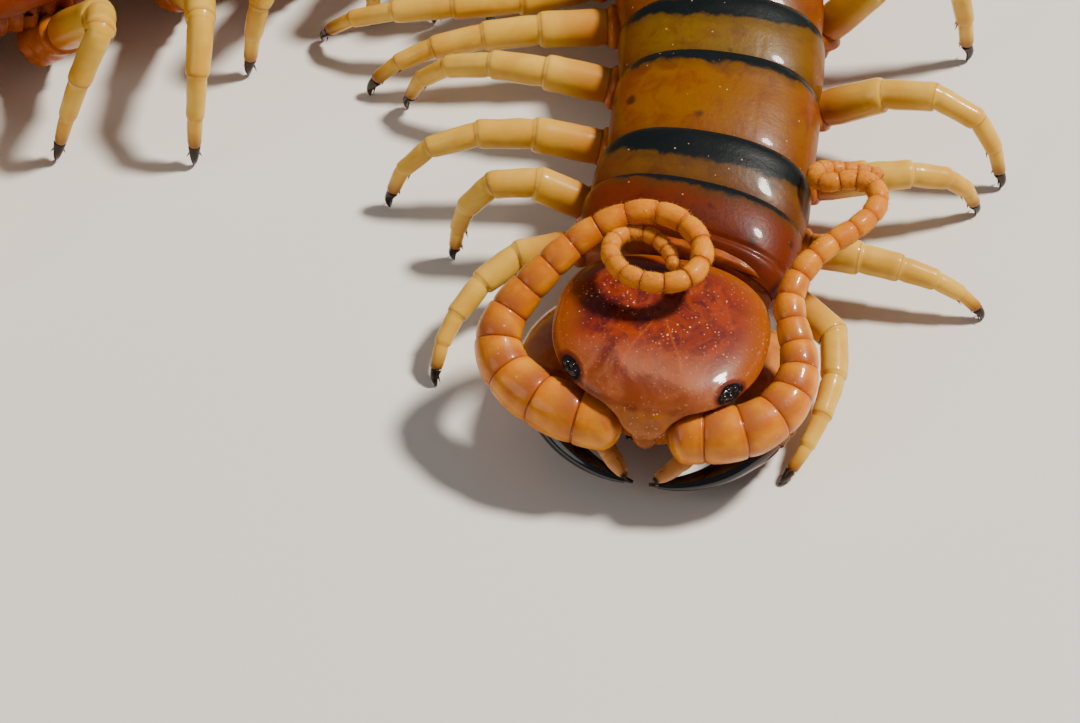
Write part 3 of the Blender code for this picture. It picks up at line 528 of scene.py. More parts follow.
def head_finish():
    """The head plate. Marks: share out to the rim, the eyes' patches, fine lines (or below 0 the snout)."""
    made, tree, shader, place = chitin("head_shell", 0.15, 0.4, 0.3)
    rim, eye, third = mark_parts(tree)
    line = calc(tree, "MAXIMUM", third, 0.0)
    snout = times(tree, calc(tree, "MINIMUM", third, 0.0), -1.0)
    forward = head_forward(tree, place)
    cloud = noise(tree, place, 0.6, 4.0, 0.6, 0.8)
    mottle = noise(tree, place, 1.5, 5.0, 0.66, 1.2)
    colour = mix(tree, between(tree, cloud, 0.36, 0.62), (0.23, 0.028, 0.005), (0.090, 0.008, 0.008))
    dark = times(tree, between(tree, mottle, 0.46, 0.66), between(tree, rim, 0.95, 0.45))
    colour = mix(tree, times(tree, dark, 0.8), colour, (0.060, 0.007, 0.010))
    # The front's pinkish brown is partly the plate's own tone and partly a painted sheen.
    front = times(tree, between(tree, forward, 0.9, 2.4), between(tree, cloud, 0.7, 0.4))
    colour = mix(tree, times(tree, front, 0.75), colour, (0.38, 0.130, 0.062))
    cells = add(tree, "TexVoronoi", {"Vector": warped(tree, place, 0.9, 1.1), "Scale": 1.15},
                feature="DISTANCE_TO_EDGE")
    veins = times(tree, between(tree, cells.outputs["Distance"], 0.07, 0.0),
                 between(tree, rim, 0.85, 0.5))
    colour = mix(tree, times(tree, veins, 0.18), colour, (0.36, 0.070, 0.012))
    colour = mix(tree, times(tree, line, 0.25), colour, (0.50, 0.105, 0.010))
    edge = calc(tree, "ADD", rim, times(tree, calc(tree, "SUBTRACT", cloud, 0.5), 0.35))
    fading = calc(tree, "SUBTRACT", 0.92, times(tree, between(tree, forward, 1.2, 2.6), 0.45))
    rim_share = times(tree, between(tree, edge, 0.66, 0.98), fading)
    colour = mix(tree, rim_share, colour, (0.29, 0.064, 0.001))
    colour = mix(tree, times(tree, snout, 0.8), colour, (0.40, 0.105, 0.003))
    colour = mix(tree, between(tree, eye, 0.02, 0.5), colour, (0.10, 0.010, 0.004))
    colour = mix(tree, between(tree, eye, 0.45, 0.9), colour, (0.006, 0.003, 0.003))
    belt = times(tree, between(tree, forward, 1.9, 0.7), between(tree, forward, -2.6, -0.2))
    belt = calc(tree, "MAXIMUM", belt, between(tree, snout, 0.1, 0.6))
    patches = times(tree, between(tree, noise(tree, place, 1.1, 3.0), 0.46, 0.62), belt)
    patches = calc(tree, "ADD", calc(tree, "ADD", patches, 0.16), times(tree, snout, 0.5))
    dust = calc(tree, "MAXIMUM", specks(tree, place, 5.5, 0.22, 0.5), specks(tree, place, 8.5, 0.24, 0.45))
    dust = times(tree, dust, patches)
    colour = mix(tree, times(tree, dust, 0.85), colour, (0.66, 0.36, 0.22))
    grain = noise(tree, place, 9.0, 3.0, 0.6)
    roughness = calc(tree, "ADD", 0.27, times(tree, mottle, 0.2))
    roughness = calc(tree, "ADD", roughness, times(tree, dust, 0.4))
    height = calc(tree, "ADD", times(tree, grain, 0.5), times(tree, dust, 2.0))
    finish_shell(tree, shader, colour, roughness, height, 0.5, 0.02)
    return made


def face_finish():
    """The grainy face between the feelers."""
    made, tree, shader, place = chitin("face_shell", 0.2, 0.4, 0.2)
    mottle = noise(tree, place, 2.2, 4.0)
    colour = mix(tree, mottle, (0.42, 0.115, 0.001), (0.20, 0.035, 0.002))
    dust = calc(tree, "MAXIMUM", specks(tree, place, 5.5, 0.26, 0.4), specks(tree, place, 9.0, 0.26, 0.35))
    colour = mix(tree, times(tree, dust, 0.8), colour, (0.70, 0.38, 0.14))
    height = calc(tree, "ADD", noise(tree, place, 5.0), times(tree, dust, 1.5))
    finish_shell(tree, shader, colour, 0.36, height, 0.6, 0.03)
    return made


def back_finish(name, main, patch, red, glow):
    """Back plates. Marks: millimetres into the dark band at the rear, place across, share along."""
    made, tree, shader, place = chitin(name, 0.12, 0.5, 0.14)
    band, across, ahead = mark_parts(tree)
    side = calc(tree, "ABSOLUTE", across)
    cloud = noise(tree, place, 0.42, 3.0, 0.55, 0.4)
    mottle = noise(tree, place, 1.5, 4.0, 0.6, 0.5)
    colour = mix(tree, times(tree, between(tree, mottle, 0.4, 0.72), 0.7), main, patch)
    flank = times(tree, between(tree, side, 0.35, 0.92), between(tree, cloud, 0.3, 0.6))
    colour = mix(tree, times(tree, flank, 0.85), colour, red)
    front = times(tree, between(tree, ahead, 0.34, 0.0), 0.6)
    colour = mix(tree, front, colour, glow)
    ragged = calc(tree, "ADD", band, times(tree, calc(tree, "SUBTRACT", mottle, 0.5), 0.6))
    fringe = between(tree, ragged, -0.5, 0.05)
    colour = mix(tree, times(tree, fringe, 0.6), colour, (0.060, 0.028, 0.003))
    colour = mix(tree, between(tree, ragged, -0.08, 0.08), colour, BAND)
    blots = times(tree, between(tree, noise(tree, place, 0.9, 2.0, 0.4), 0.67, 0.73), 0.8)
    colour = mix(tree, blots, colour, (0.035, 0.007, 0.003))
    dust = times(tree, specks(tree, place, 5.0, 0.18, 0.08), 0.6)
    colour = mix(tree, dust, colour, (0.55, 0.33, 0.20))
    roughness = calc(tree, "ADD", 0.26, times(tree, mottle, 0.24))
    height = calc(tree, "ADD", noise(tree, place, 7.0, 3.0, 0.6), times(tree, dust, 1.5))
    finish_shell(tree, shader, colour, roughness, height, 0.4, 0.02)
    return made


def plain_shell(name, main, patch, roughness, subsurface, coat, per_mm=1.5, relief=0.02):
    """A mottled shell of two colours."""
    made, tree, shader, place = chitin(name, subsurface, 0.5, coat)
    mottle = noise(tree, place, per_mm, 4.0, 0.6, 0.4)
    colour = mix(tree, between(tree, mottle, 0.3, 0.7), main, patch)
    height = noise(tree, place, 8.0, 3.0, 0.6)
    rough = calc(tree, "ADD", roughness, times(tree, mottle, 0.16))
    finish_shell(tree, shader, colour, rough, height, 0.4, relief)
    return made


def leg_finish():
    """Legs. Marks: share along the leg, height round it, and share along the article."""
    made, tree, shader, place = chitin("leg_shell", 0.3, 0.6, 0.3)
    whole, up, local = mark_parts(tree)
    cloud = noise(tree, place, 0.9, 3.0, 0.5, 0.3)
    colour = mix(tree, between(tree, cloud, 0.3, 0.7), OCHRE, DEEP_OCHRE)
    colour = mix(tree, between(tree, whole, 0.24, 0.0), colour, (0.42, 0.115, 0.002))
    upper = times(tree, between(tree, up, 0.0, 1.0), 0.35)
    colour = mix(tree, upper, colour, (0.56, 0.29, 0.055))
    joint = calc(tree, "MAXIMUM", between(tree, local, 0.94, 1.0), between(tree, local, 0.04, 0.0))
    colour = mix(tree, times(tree, joint, 0.6), colour, (0.26, 0.075, 0.004))
    colour = mix(tree, between(tree, whole, 0.82, 0.93), colour, (0.22, 0.060, 0.005))
    dust = times(tree, specks(tree, place, 5.0, 0.16, 0.06), 0.5)
    colour = mix(tree, dust, colour, (0.62, 0.44, 0.26))
    roughness = calc(tree, "ADD", 0.24, times(tree, cloud, 0.16))
    roughness = calc(tree, "ADD", roughness, times(tree, joint, 0.3))
    finish_shell(tree, shader, colour, roughness, noise(tree, place, 7.0, 3.0), 0.35, 0.015)
    return made


def feeler_finish(name, coat, roughness, weight):
    """Feelers. Marks: share along the feeler, height round it, and share along the article."""
    made, tree, shader, place = chitin(name, weight, 0.5, coat)
    whole, up, local = mark_parts(tree)
    cloud = noise(tree, place, 1.3, 3.0, 0.55, 0.3)
    colour = mix(tree, between(tree, cloud, 0.3, 0.7), AMBER, DEEP_AMBER)
    # The mauve on the upper side of the first articles is partly their own tint and partly a painted sheen.
    mauve = times(tree, between(tree, up, 0.2, 0.9), between(tree, whole, 0.75, 0.2))
    mauve = times(tree, mauve, between(tree, local, 1.0, 0.1))
    colour = mix(tree, times(tree, mauve, 0.85), colour, (0.27, 0.066, 0.022))
    colour = mix(tree, between(tree, whole, 0.4, 1.0), colour, (0.56, 0.200, 0.016))
    # Painted shade at the joints: each article turns darker towards both its ends, leaving its middle
    # lighter.
    near = calc(tree, "MAXIMUM", between(tree, local, 0.74, 1.0), between(tree, local, 0.24, 0.0))
    colour = mix(tree, times(tree, near, 0.6), colour, (0.42, 0.090, 0.0005))
    joint = calc(tree, "MAXIMUM", between(tree, local, 0.955, 0.985), between(tree, local, 0.03, 0.01))
    colour = mix(tree, times(tree, joint, 0.8), colour, (0.20, 0.030, 0.002))
    dust = times(tree, specks(tree, place, 5.5, 0.2, 0.08), 0.6)
    colour = mix(tree, dust, colour, (0.66, 0.42, 0.22))
    rough = calc(tree, "ADD", roughness, times(tree, cloud, 0.16))
    rough = calc(tree, "ADD", rough, times(tree, joint, 0.4))
    height = calc(tree, "ADD", noise(tree, place, 9.0, 3.0), times(tree, dust, 1.5))
    finish_shell(tree, shader, colour, rough, height, 0.5, 0.02)
    return made


def claw_finish():
    """Poison claw bases and fangs. Marks: share along the claw, height round it."""
    made, tree, shader, place = chitin("fang_shell", 0.1, 0.4, 1.0)
    whole, _, _ = mark_parts(tree)
    mottle = noise(tree, place, 1.2, 3.0)
    # The bases' light brown is partly their own colour and partly a painted highlight.
    colour = mix(tree, between(tree, mottle, 0.3, 0.7), (0.62, 0.230, 0.050), (0.40, 0.110, 0.015))
    colour = mix(tree, between(tree, whole, 0.36, 0.48), colour, (0.085, 0.014, 0.002))
    colour = mix(tree, between(tree, whole, 0.5, 0.62), colour, (0.004, 0.003, 0.003))
    finish_shell(tree, shader, colour, 0.22, noise(tree, place, 6.0), 0.3, 0.015)
    return made


def palp_finish():
    """Palps. Marks: share along, height round."""
    made, tree, shader, place = chitin("palp_shell", 0.35, 0.5, 0.3)
    whole, _, _ = mark_parts(tree)
    colour = mix(tree, noise(tree, place, 2.0), (0.66, 0.360, 0.130), (0.48, 0.210, 0.055))
    colour = mix(tree, between(tree, whole, 0.84, 0.95), colour, (0.012, 0.005, 0.003))
    finish_shell(tree, shader, colour, 0.3, noise(tree, place, 8.0), 0.4, 0.015)
    return made


def lens_finish():
    made, tree, shader = new_material("eye_lens", Coat_Weight=0.5, Coat_Roughness=0.08, Coat_IOR=1.45,
                                      IOR=1.45)
    place = place_mm(tree)
    colour = mix(tree, noise(tree, place, 6.0), (0.002, 0.0015, 0.0015), (0.008, 0.003, 0.002))
    finish_shell(tree, shader, colour, 0.14, noise(tree, place, 12.0), 0.1, 0.005)
    return made


# Head


def plate_outline(angle):
    across, ahead = np.cos(angle), np.sin(angle)
    power = 2.5
    reach = (np.abs(across) ** power + np.abs(ahead) ** power) ** (-1 / power)
    narrowing = 1 - 0.15 * np.maximum(0.0, ahead) ** 2
    length = np.where(ahead > 0, HEAD_FRONT, HEAD_REAR)
    return across * reach * narrowing * HEAD_WIDTH / 2, ahead * reach * length


def eye_frame(side):
    """The eye patch's middle, its outward normal, its long direction, and the direction across."""
    middle = head_point(side * EYE_SIDE, EYE_FORWARD, HEAD_RIM + 0.14)
    outward_way = unit(HEAD_LEFT * (side * 0.62) + HEAD_FORWARD * 0.42 + UP * 0.66)
    turn = math.radians(EYE_TURN)
    long_way = HEAD_LEFT * (-side * math.sin(turn)) + HEAD_FORWARD * math.cos(turn)
    long_way = unit(long_way - outward_way * (long_way @ outward_way))
    return middle, outward_way, long_way, np.cross(outward_way, long_way)


def head_form(rows=210, columns=460):
    t = np.concatenate([np.linspace(0, 5.4, int(rows * 0.68)), np.linspace(5.45, 11, int(rows * 0.32))])
    knots, snout_knots = np.array(HEAD_SECTION), np.array(SNOUT_SECTION)
    x, y = plate_outline(2 * math.pi * np.arange(columns) / columns)
    limit = (1.04 - 0.52 * smooth(4.6, 8.5, t))[:, None]
    snout = smooth(0.40, -0.40, np.abs(x)[None] - limit) * (y > 0)[None]
    share, height, back = (
        along(knots[:, (0, k)], t)[:, None] * (1 - snout) + along(snout_knots[:, (0, k)], t)[:, None] * snout
        for k in (1, 2, 3)
    )
    x, y = x[None] * share, y[None] * share - back
    top = smooth(5.3, 4.6, t)[:, None] * np.ones_like(x)
    points = head_point(x, y, height)
    relief = 0.010 * waves(points, 2.2, 3)
    relief += -0.008 * bump(share, 0.93, 0.02) * smooth(1.6, 0.4, y)
    relief += -0.03 * bump(x, 0.0, 0.16) * smooth(-1.4, -2.4, y)
    # Two fine lines run from the head's middle to the front corners.
    arc = 0.15 + 0.75 * smooth(0.1, 2.3, y) ** 0.8
    line = bump(np.abs(x), arc, 0.04) * smooth(0.0, 0.5, y) * smooth(2.5, 2.0, y)
    relief += 0.004 * line
    eyes = np.zeros_like(x)
    for side, _ in SIDES:
        middle, _, long_way, across = eye_frame(side)
        offset = points - middle
        reach = np.hypot((offset @ long_way) / 0.42, (offset @ across) / 0.24)
        near = smooth(4.0, 2.0, reach) * top
        shaded = reach + 0.12 * waves(points, 0.5, 9 + side)
        eyes = np.maximum(eyes, (0.4 * smooth(1.9, 1.1, shaded) + 0.6 * smooth(1.12, 0.95, shaded)) * top)
        relief += 0.012 * bump(reach, 1.5, 0.2) * near
        relief += -0.04 * smooth(1.1, 0.6, reach) * near
    face = snout * (smooth(4.0, 5.2, t) * smooth(10.0, 8.5, t))[:, None]
    points = points + UP * (relief * top)[..., None]
    bulge = 0.016 * waves(points, 0.5, 5) - 0.05 * bump(height, 2.86, 0.05)
    points = points + HEAD_FORWARD * (bulge * smooth(0.3, 0.8, face))[..., None]
    grains = smooth(0.15, 0.6, face + 0.12 * waves(points, 0.6, 6))
    below = smooth(5.0, 5.5, t)[:, None] * (1 - snout)
    marks = np.stack([np.clip(share, 0, 1) + below * 0.25, eyes,
                      np.where(grains > 0.02, -grains, line * top)], -1)
    return tube(points, marks)


def loft(given_rings, rows):
    """Smooth rings through given rings of equal counts of points."""
    given = np.array(given_rings)
    at = np.linspace(0, len(given) - 1, rows)
    flat = given.reshape(len(given), -1)
    knots = np.arange(len(given))
    out = np.stack([along(np.stack([knots, flat[:, k]], 1), at) for k in range(flat.shape[1])], -1)
    return out.reshape(rows, given.shape[1], 3)


def face_form():
    """The lip under the face, above the mouth."""
    stations = ((0.9, 1.3, 0.6, 3.1), (1.9, 0.58, 0.55, 2.92), (2.7, 0.49, 0.5, 2.74),
                (3.05, 0.42, 0.42, 2.64), (3.24, 0.28, 0.28, 2.54), (3.34, 0.1, 0.1, 2.46))
    cosines, sines = circle(56)
    rings = loft([head_point(cosines * wide, ahead, height + sines * tall) for ahead, wide, tall, height
                  in stations], 60)
    relief = 0.02 * waves(rings, 0.6, 21)
    rings = raised(rings, rings.mean(1, keepdims=True), relief)
    return tube(rings, np.zeros_like(rings))


def feeler_root(side):
    root = head_point(side * FEELER_ROOT_SIDE, FEELER_ROOT_FORWARD[side], 0.0)
    return np.array((root[0], root[1], FEELER_HEIGHT[side][0][1]))


def socket_form(side):
    """The ringed socket that carries a feeler."""
    direction = heading(FEELER_HEADING[side][0][1])
    start = head_point(side * 0.1, 1.7, 2.85)
    end = feeler_root(side) + direction * 0.05
    t = np.linspace(0, 1, 60)
    radius = 0.44 + 0.06 * t + 0.03 * np.sin(t * 34) * smooth(0.45, 0.6, t) - 0.14 * smooth(0.94, 1.0, t)
    rings = swept(start + (end - start) * t[:, None], radius, UP, 40)
    return tube(rings, ring_marks(t, None, 40))


def dome(centre, normal, radius, tall, rows=14, sides=28):
    tilt = np.linspace(-0.35, math.pi / 2 - 0.02, rows)
    reference = np.cross(normal, (0.3, 0.5, 0.81))
    one = unit(reference)
    two = np.cross(normal, one)
    cosines, sines = circle(sides)
    flat = one * cosines[:, None] + two * sines[:, None]
    rings = (centre + normal * (np.sin(tilt) * tall)[:, None, None]
             + flat[None] * (np.cos(tilt) * radius)[:, None, None])
    return tube(rings, np.zeros_like(rings))


def eye_form(side):
    """Four domed lenses in a diamond on a low dark patch."""
    middle, outward_way, long_way, across = eye_frame(side)
    cosines, sines = circle(48)
    patch = [
        middle + outward_way * lift
        + long_way * ((0.38 + grow) * cosines)[:, None] + across * ((0.20 + grow) * sines)[:, None]
        for grow, lift in ((0.0, -0.14), (0.0, -0.03), (-0.02, 0.01), (-0.06, 0.035), (-0.14, 0.05))
    ]
    forms = [tube(np.array(patch), np.zeros((5, 48, 3)))]
    for along_by, across_by, radius in ((0.235, 0.01, 0.095), (-0.225, -0.02, 0.1), (0.03, 0.095, 0.09),
                                        (-0.01, -0.09, 0.095)):
        centre = middle + long_way * along_by + across * across_by + outward_way * 0.03
        forms.append(dome(centre, outward_way, radius, radius * 0.75))
    return joined(forms)


# Trunk


def skin_form(rows=900, columns=72):
    """The soft body under the plates, pinched between segments and wrinkled at the sides."""
    end = SEGMENT_STARTS[-1]
    s = np.linspace(0.12, end - 0.1, rows)
    cosines, sines = circle(columns)
    i = np.clip(np.searchsorted(SEGMENT_STARTS, s, side="right") - 1, 0, SEGMENTS - 1)
    local = (s - SEGMENT_STARTS[i]) / (SEGMENT_STARTS[i + 1] - SEGMENT_STARTS[i])
    swell = 0.86 + 0.12 * np.sin(math.pi * np.clip(local, 0, 1)) ** 0.6
    swell = swell * (1 - 0.35 * smooth(end - 1.6, end, s))
    half = (along(TRUNK_WIDTH, s) / 2 * swell)[:, None]
    top = (along(TRUNK_TOP, s) - 0.45)[:, None]
    x = half * np.sign(cosines) * np.abs(cosines) ** 0.62 * 0.94
    z = BELLY + (top - BELLY) * (0.5 + 0.5 * np.sign(sines) * np.abs(sines) ** 0.75)
    folds = 0.035 * np.sin(s * 11.0 + 1.3 * np.sin(s * 1.7))[:, None] * np.abs(cosines) ** 2
    x = x * (1 + folds) + 0.03 * np.sin(z * 12.0) * np.sign(x) * np.abs(cosines) ** 2
    points = trunk_point(s[:, None], x, z)
    relief = 0.02 * waves(points, 0.6, 31)
    points = raised(points, points.mean(1, keepdims=True), relief)
    return tube(points, ring_marks(s / end, sines, columns))


def back_top(i, u, v):
    """Where a back plate's outer face is, by share along and place across from -1 to 1, and how far back."""
    start, end = SEGMENT_STARTS[i - 1], SEGMENT_STARTS[i]
    length = end - start
    s = start - 0.06 + u * (length + (0.16 if i < SEGMENTS else 0.1))
    wide = along([(0, 0.915), (0.08, 0.955), (0.25, 0.985), (0.62, 1.0), (0.9, 0.985), (1, 0.93)], u)
    drop = along([(0, 0.44), (0.2, 0.22), (0.5, 0.07), (0.72, 0.015), (0.9, -0.02), (1, 0.03)], u)
    if i == 1:
        drop = along([(0, 0.56), (0.12, 0.30), (0.22, 0.20), (0.30, 0.24), (0.38, 0.16), (0.62, 0.04),
                      (0.9, -0.02), (1, 0.03)], u)
    if i == SEGMENTS:
        wide = along([(0, 0.92), (0.25, 0.985), (0.6, 0.97), (0.85, 0.80), (1, 0.46)], u)
        drop = along([(0, 0.42), (0.2, 0.2), (0.62, 0.04), (0.85, 0.18), (1, 0.58)], u)
    half = along(TRUNK_WIDTH, s) / 2 * wide
    angle = math.pi / 2 * (1 - v)
    across = np.sign(v) * np.abs(np.cos(angle)) ** 0.86
    height = np.abs(np.sin(angle)) ** 0.9
    rise = along(TRUNK_TOP, s) - drop - PLATE_EDGE
    # The rear edge is set back in the middle, and T1's front edge follows the head's rear.
    bow = 0.14 * smooth(0.55, 1.0, u) * (1 - v ** 2)
    if i == 1:
        bow = bow + 0.24 * smooth(0.5, 0.0, u) * (1 - across ** 2)
    rim = 0.05 * smooth(0.86, 0.95, np.abs(v)) * (0.4 + 0.6 * smooth(8, 14, i))
    lines = np.zeros_like(v)
    if 3 <= i < SEGMENTS:
        lines = -0.016 * bump(np.abs(across), 0.33 + 0.03 * np.sin(u * 3), 0.012) * smooth(0.0, 0.1, u)
        lines = lines * (0.4 + 0.6 * smooth(3, 6, i))
    if i == SEGMENTS:
        lines = -0.03 * bump(across, 0.0, 0.02) * smooth(0.1, 0.3, u) * smooth(0.95, 0.7, u)
    z = PLATE_EDGE - drop * 0.3 + rise * height + rim + lines
    points = trunk_point(s + bow, half * across, z)
    relief = 0.014 * waves(points, 2.4, 40 + i)
    return points + UP * (relief * height)[..., None], s


def back_form(i, rows=64, columns=110):
    u = np.linspace(0, 1, rows)[:, None] * np.ones((1, columns))
    v = np.linspace(-1, 1, columns)[None] * np.ones((rows, 1))
    top, s = back_top(i, u, v)
    edge = np.minimum(smooth(0.0, 0.035, u), smooth(1.0, 0.965, u)) * smooth(1.0, 0.965, np.abs(v))
    thick = 0.05 + 0.10 * edge
    middle, _, _ = trunk_frame(s)
    inward = unit(np.cross(np.gradient(top, axis=0), np.gradient(top, axis=1)))
    inward = inward * np.sign((inward * (top - middle - UP * 2.4)).sum(-1, keepdims=True)) * -1
    bottom = top + inward * thick[..., None]
    mid_band, side_band = FIRST_BANDS.get(i, (0.42 if i in LONG_SEGMENTS else 0.62, 0.3))
    width = side_band + (mid_band - side_band) * (1 - np.abs(v) ** 1.6)
    to_end = SEGMENT_STARTS[i] - s + 0.10
    marks = np.stack([width - to_end, v, u], -1)
    return shell(top, bottom, marks)


def belly_form(i, rows=30, columns=48):
    """A belly plate, with two long furrows."""
    start, end = SEGMENT_STARTS[i - 1], SEGMENT_STARTS[i]
    u = np.linspace(0, 1, rows)[:, None] * np.ones((1, columns))
    v = np.linspace(-1, 1, columns)[None] * np.ones((rows, 1))
    s = start + 0.2 + u * (end - start - 0.3)
    taper = 0.62 - (0.14 * u if i == SEGMENTS else 0.03 * np.abs(2 * u - 1) ** 4)
    half = along(TRUNK_WIDTH, s) / 2 * taper
    edge = smooth(1.0, 0.82, np.abs(v)) * np.minimum(smooth(0.0, 0.08, u), smooth(1.0, 0.92, u))
    furrow = 0.04 * bump(np.abs(v), 0.42, 0.035)
    z = BELLY + 0.12 - 0.30 * edge ** 0.6 - 0.03 * (1 - v ** 2) + furrow
    bottom = trunk_point(s, half * v, z)
    top = trunk_point(s, half * v * 0.96, BELLY + 0.4 + 0 * u)
    return shell(bottom, top, np.stack([u, v, u * 0 + i], -1))


def spiracle_form(i, side):
    """The breathing hole's dark oval rim on a flank."""
    s = SEGMENT_STARTS[i - 1] + 0.62 * (SEGMENT_STARTS[i] - SEGMENT_STARTS[i - 1])
    half = float(along(TRUNK_WIDTH, s)) / 2
    cosines, sines = circle(28)
    ring = []
    for tilt in np.linspace(0, 2 * math.pi, 12, endpoint=False):
        out = 0.915 + 0.02 * math.cos(tilt)
        grow = 1 + 0.22 * math.sin(tilt)
        ring.append(trunk_point(s + 0.30 * grow * cosines, side * half * out, 3.02 + 0.17 * grow * sines))
    ring = np.array(ring)
    rows, columns = ring.shape[:2]
    faces = grid_faces(rows, columns, True)
    faces += [[(rows - 1) * columns + k, (rows - 1) * columns + (k + 1) % columns, (k + 1) % columns, k]
              for k in range(columns)]
    points = ring.reshape(-1, 3)
    return points, outward(points, faces), np.zeros_like(points)


# Legs


def leg_root(i, side):
    share = 0.45 if i < SEGMENTS else 1.05
    s = SEGMENT_STARTS[i - 1] + share * (SEGMENT_STARTS[i] - SEGMENT_STARTS[i - 1])
    half = along(TRUNK_WIDTH, s) / 2
    out = half + 0.2 if i < SEGMENTS else half * 0.5
    return trunk_point(s, side * out, ROOT_HEIGHT), s


def leg_length(i, side):
    return LENGTHS.get((side, i), float(along(LEG_LENGTH, i)))


def foot_place(i, side):
    root, s = leg_root(i, side)
    if (side, i) in FEET:
        return np.array((*FEET[(side, i)], 0.0))
    _, tailward, left = trunk_frame(s)
    phase = 2 * math.pi * i / STEPS_PER_WAVE + (0.0 if side > 0 else 2.2)
    step = STEP_SWEEP * math.sin(phase) if i < SEGMENTS else 0.0
    sweep = math.radians(float(along(LEG_SWEEP, i)) + step)
    direction = left * (side * math.cos(sweep)) - tailward * math.sin(sweep)
    reach = leg_length(i, side) * (LEG_REACH + 0.04 * math.cos(phase) if i < SEGMENTS else 0.9)
    return (root + direction * reach) * (1, 1, 0)


def leg_line(i, side):
    """The leg's joints from root to foot, and the level direction across the leg."""
    root, s = leg_root(i, side)
    flat = (foot_place(i, side) - root) * (1, 1, 0)
    reach = np.linalg.norm(flat)
    ahead = flat / reach
    across = np.array((-ahead[1], ahead[0], 0.0))
    square = trunk_frame(s)[2] * side if i < SEGMENTS else ahead
    outward_way = np.array((square @ ahead, square @ across)) * 0.42 * max(reach, 4.0)
    bow = BOWS.get((side, i), 0.0) * side
    t = np.linspace(0, 1, 61)[:, None]
    low, high = 0.0, 14.0
    for _ in range(30):
        lift = (low + high) / 2
        handles = np.array([
            (0, 0, 0),
            (outward_way[0], outward_way[1] + bow, 0.55 * lift),
            (0.97 * reach, outward_way[1] * 0.35 + bow * 0.7, 1.15 * lift - root[2] * 0.3),
            (reach, 0, -root[2]),
        ])
        curve = (handles[0] * (1 - t) ** 3 + handles[1] * (3 * t * (1 - t) ** 2)
                 + handles[2] * (3 * t * t * (1 - t)) + handles[3] * t ** 3)
        run = np.concatenate([[0.0], np.cumsum(np.linalg.norm(np.diff(curve, axis=0), axis=1))])
        low, high = (lift, high) if run[-1] < leg_length(i, side) else (low, lift)
    shares = np.concatenate([[0.0], np.cumsum(LEG_ARTICLES)])
    local = np.stack([np.interp(shares * run[-1], run, curve[:, axis]) for axis in range(3)], -1)
    return root + ahead * local[:, :1] + across * local[:, 1:2] + UP * local[:, 2:], across


def softened(points, step, reach):
    """Points a step apart, each moved to the weighted mean of those within the reach."""
    count = max(1, int(reach / step))
    weights = np.cos(np.linspace(-math.pi / 2, math.pi / 2, 2 * count + 1)[1:-1])
    weights = weights / weights.sum()
    pad = count - 1
    first = 2 * points[0] - points[pad:0:-1] if pad else points[:0]
    last = 2 * points[-1] - points[-2:-pad - 2:-1] if pad else points[:0]
    padded = np.concatenate([first, points, last])
    return np.stack([np.convolve(padded[:, k], weights, "valid") for k in range(3)], -1)


def leg_form(i, side):
    """A leg's five articles, each with a flared rim that the next one fits into, and its spurs."""
    joints, across = leg_line(i, side)
    scale = float(along(LEG_SCALE, i))
    run = np.concatenate([[0.0], np.cumsum(np.linalg.norm(np.diff(joints, axis=0), axis=1))])
    root_way = unit(joints[1] - joints[0])
    shell_end = run[5] + 0.18 * (run[6] - run[5])
    at = np.linspace(-0.25, shell_end, int((shell_end + 0.25) / 0.062))
    line = np.stack([np.interp(at, run, joints[:, axis]) for axis in range(3)], -1)
    line = line + root_way * np.minimum(at, 0.0)[:, None]
    line = softened(line, at[1] - at[0], 0.24)
    k = np.clip(np.searchsorted(run, at, side="right") - 1, 0, 5)
    local = np.clip((at - run[k]) / (run[k + 1] - run[k]), 0, 1)
    radii = np.array(LEG_RADII)
    radius = (radii[k, 0] + (radii[k, 1] - radii[k, 0]) * local) * scale
    rim = 0.02 * bump(local, 0.86, 0.10)
    shape = 0.94 + 0.06 * smooth(0.0, 0.25, local) + rim - 0.04 * smooth(0.94, 1.0, local)
    shape = np.where(k == 5, 1.25 - 0.9 * local / 0.18, shape)
    shape = np.where(at < 0, 0.86, shape)
    radius = radius * shape
    rings = swept(line, radius, across, LEG_SIDES, 0.94)
    middles = line[:, None]
    relief = 0.008 * waves(rings, 1.2, 100 + i)
    rings = raised(rings, middles, relief)
    up = unit(rings - middles) @ UP
    marks = np.stack([
        np.broadcast_to((np.maximum(at, 0) / run[-1])[:, None], up.shape), up,
        np.broadcast_to(np.where(at < 0, 0.0, local)[:, None], up.shape)], -1)
    forms = [tube(rings, marks)]
    for joint, size in ((4, 0.34), (5, 0.2)):
        way = unit(joints[joint] - joints[joint - 1])
        below = unit(np.cross(across, way))
        below = below * (-1 if below[2] > 0 else 1)
        for turn in (-0.25, 0.25):
            lean = unit(below + across * turn)
            base = joints[joint] - way * 0.1 + lean * (radii[joint - 1, 1] * scale * 0.82)
            points, faces, _ = spike(base, unit(way + lean * 0.5), size * scale, 0.045 * scale)
            forms.append((points, faces, np.tile((0.95, 0.0, 0.5), (len(points), 1))))
    if i == SEGMENTS:
        for row in range(4):
            for turn in (-0.6, 0.0, 0.65):
                share = 0.3 + 0.18 * row
                way = unit(joints[1] - joints[0])
                below = unit(np.cross(across, way)) * (-1 if np.cross(across, way)[2] > 0 else 1)
                lean = unit(below + across * turn)
                base = joints[0] + (joints[1] - joints[0]) * share + lean * (radii[0, 0] * scale * 0.93)
                points, faces, _ = spike(base, unit(way * 0.8 + lean), 0.24, 0.07)
                forms.append((points, faces, np.tile((0.97, 0.0, 0.5), (len(points), 1))))
    return joined(forms)


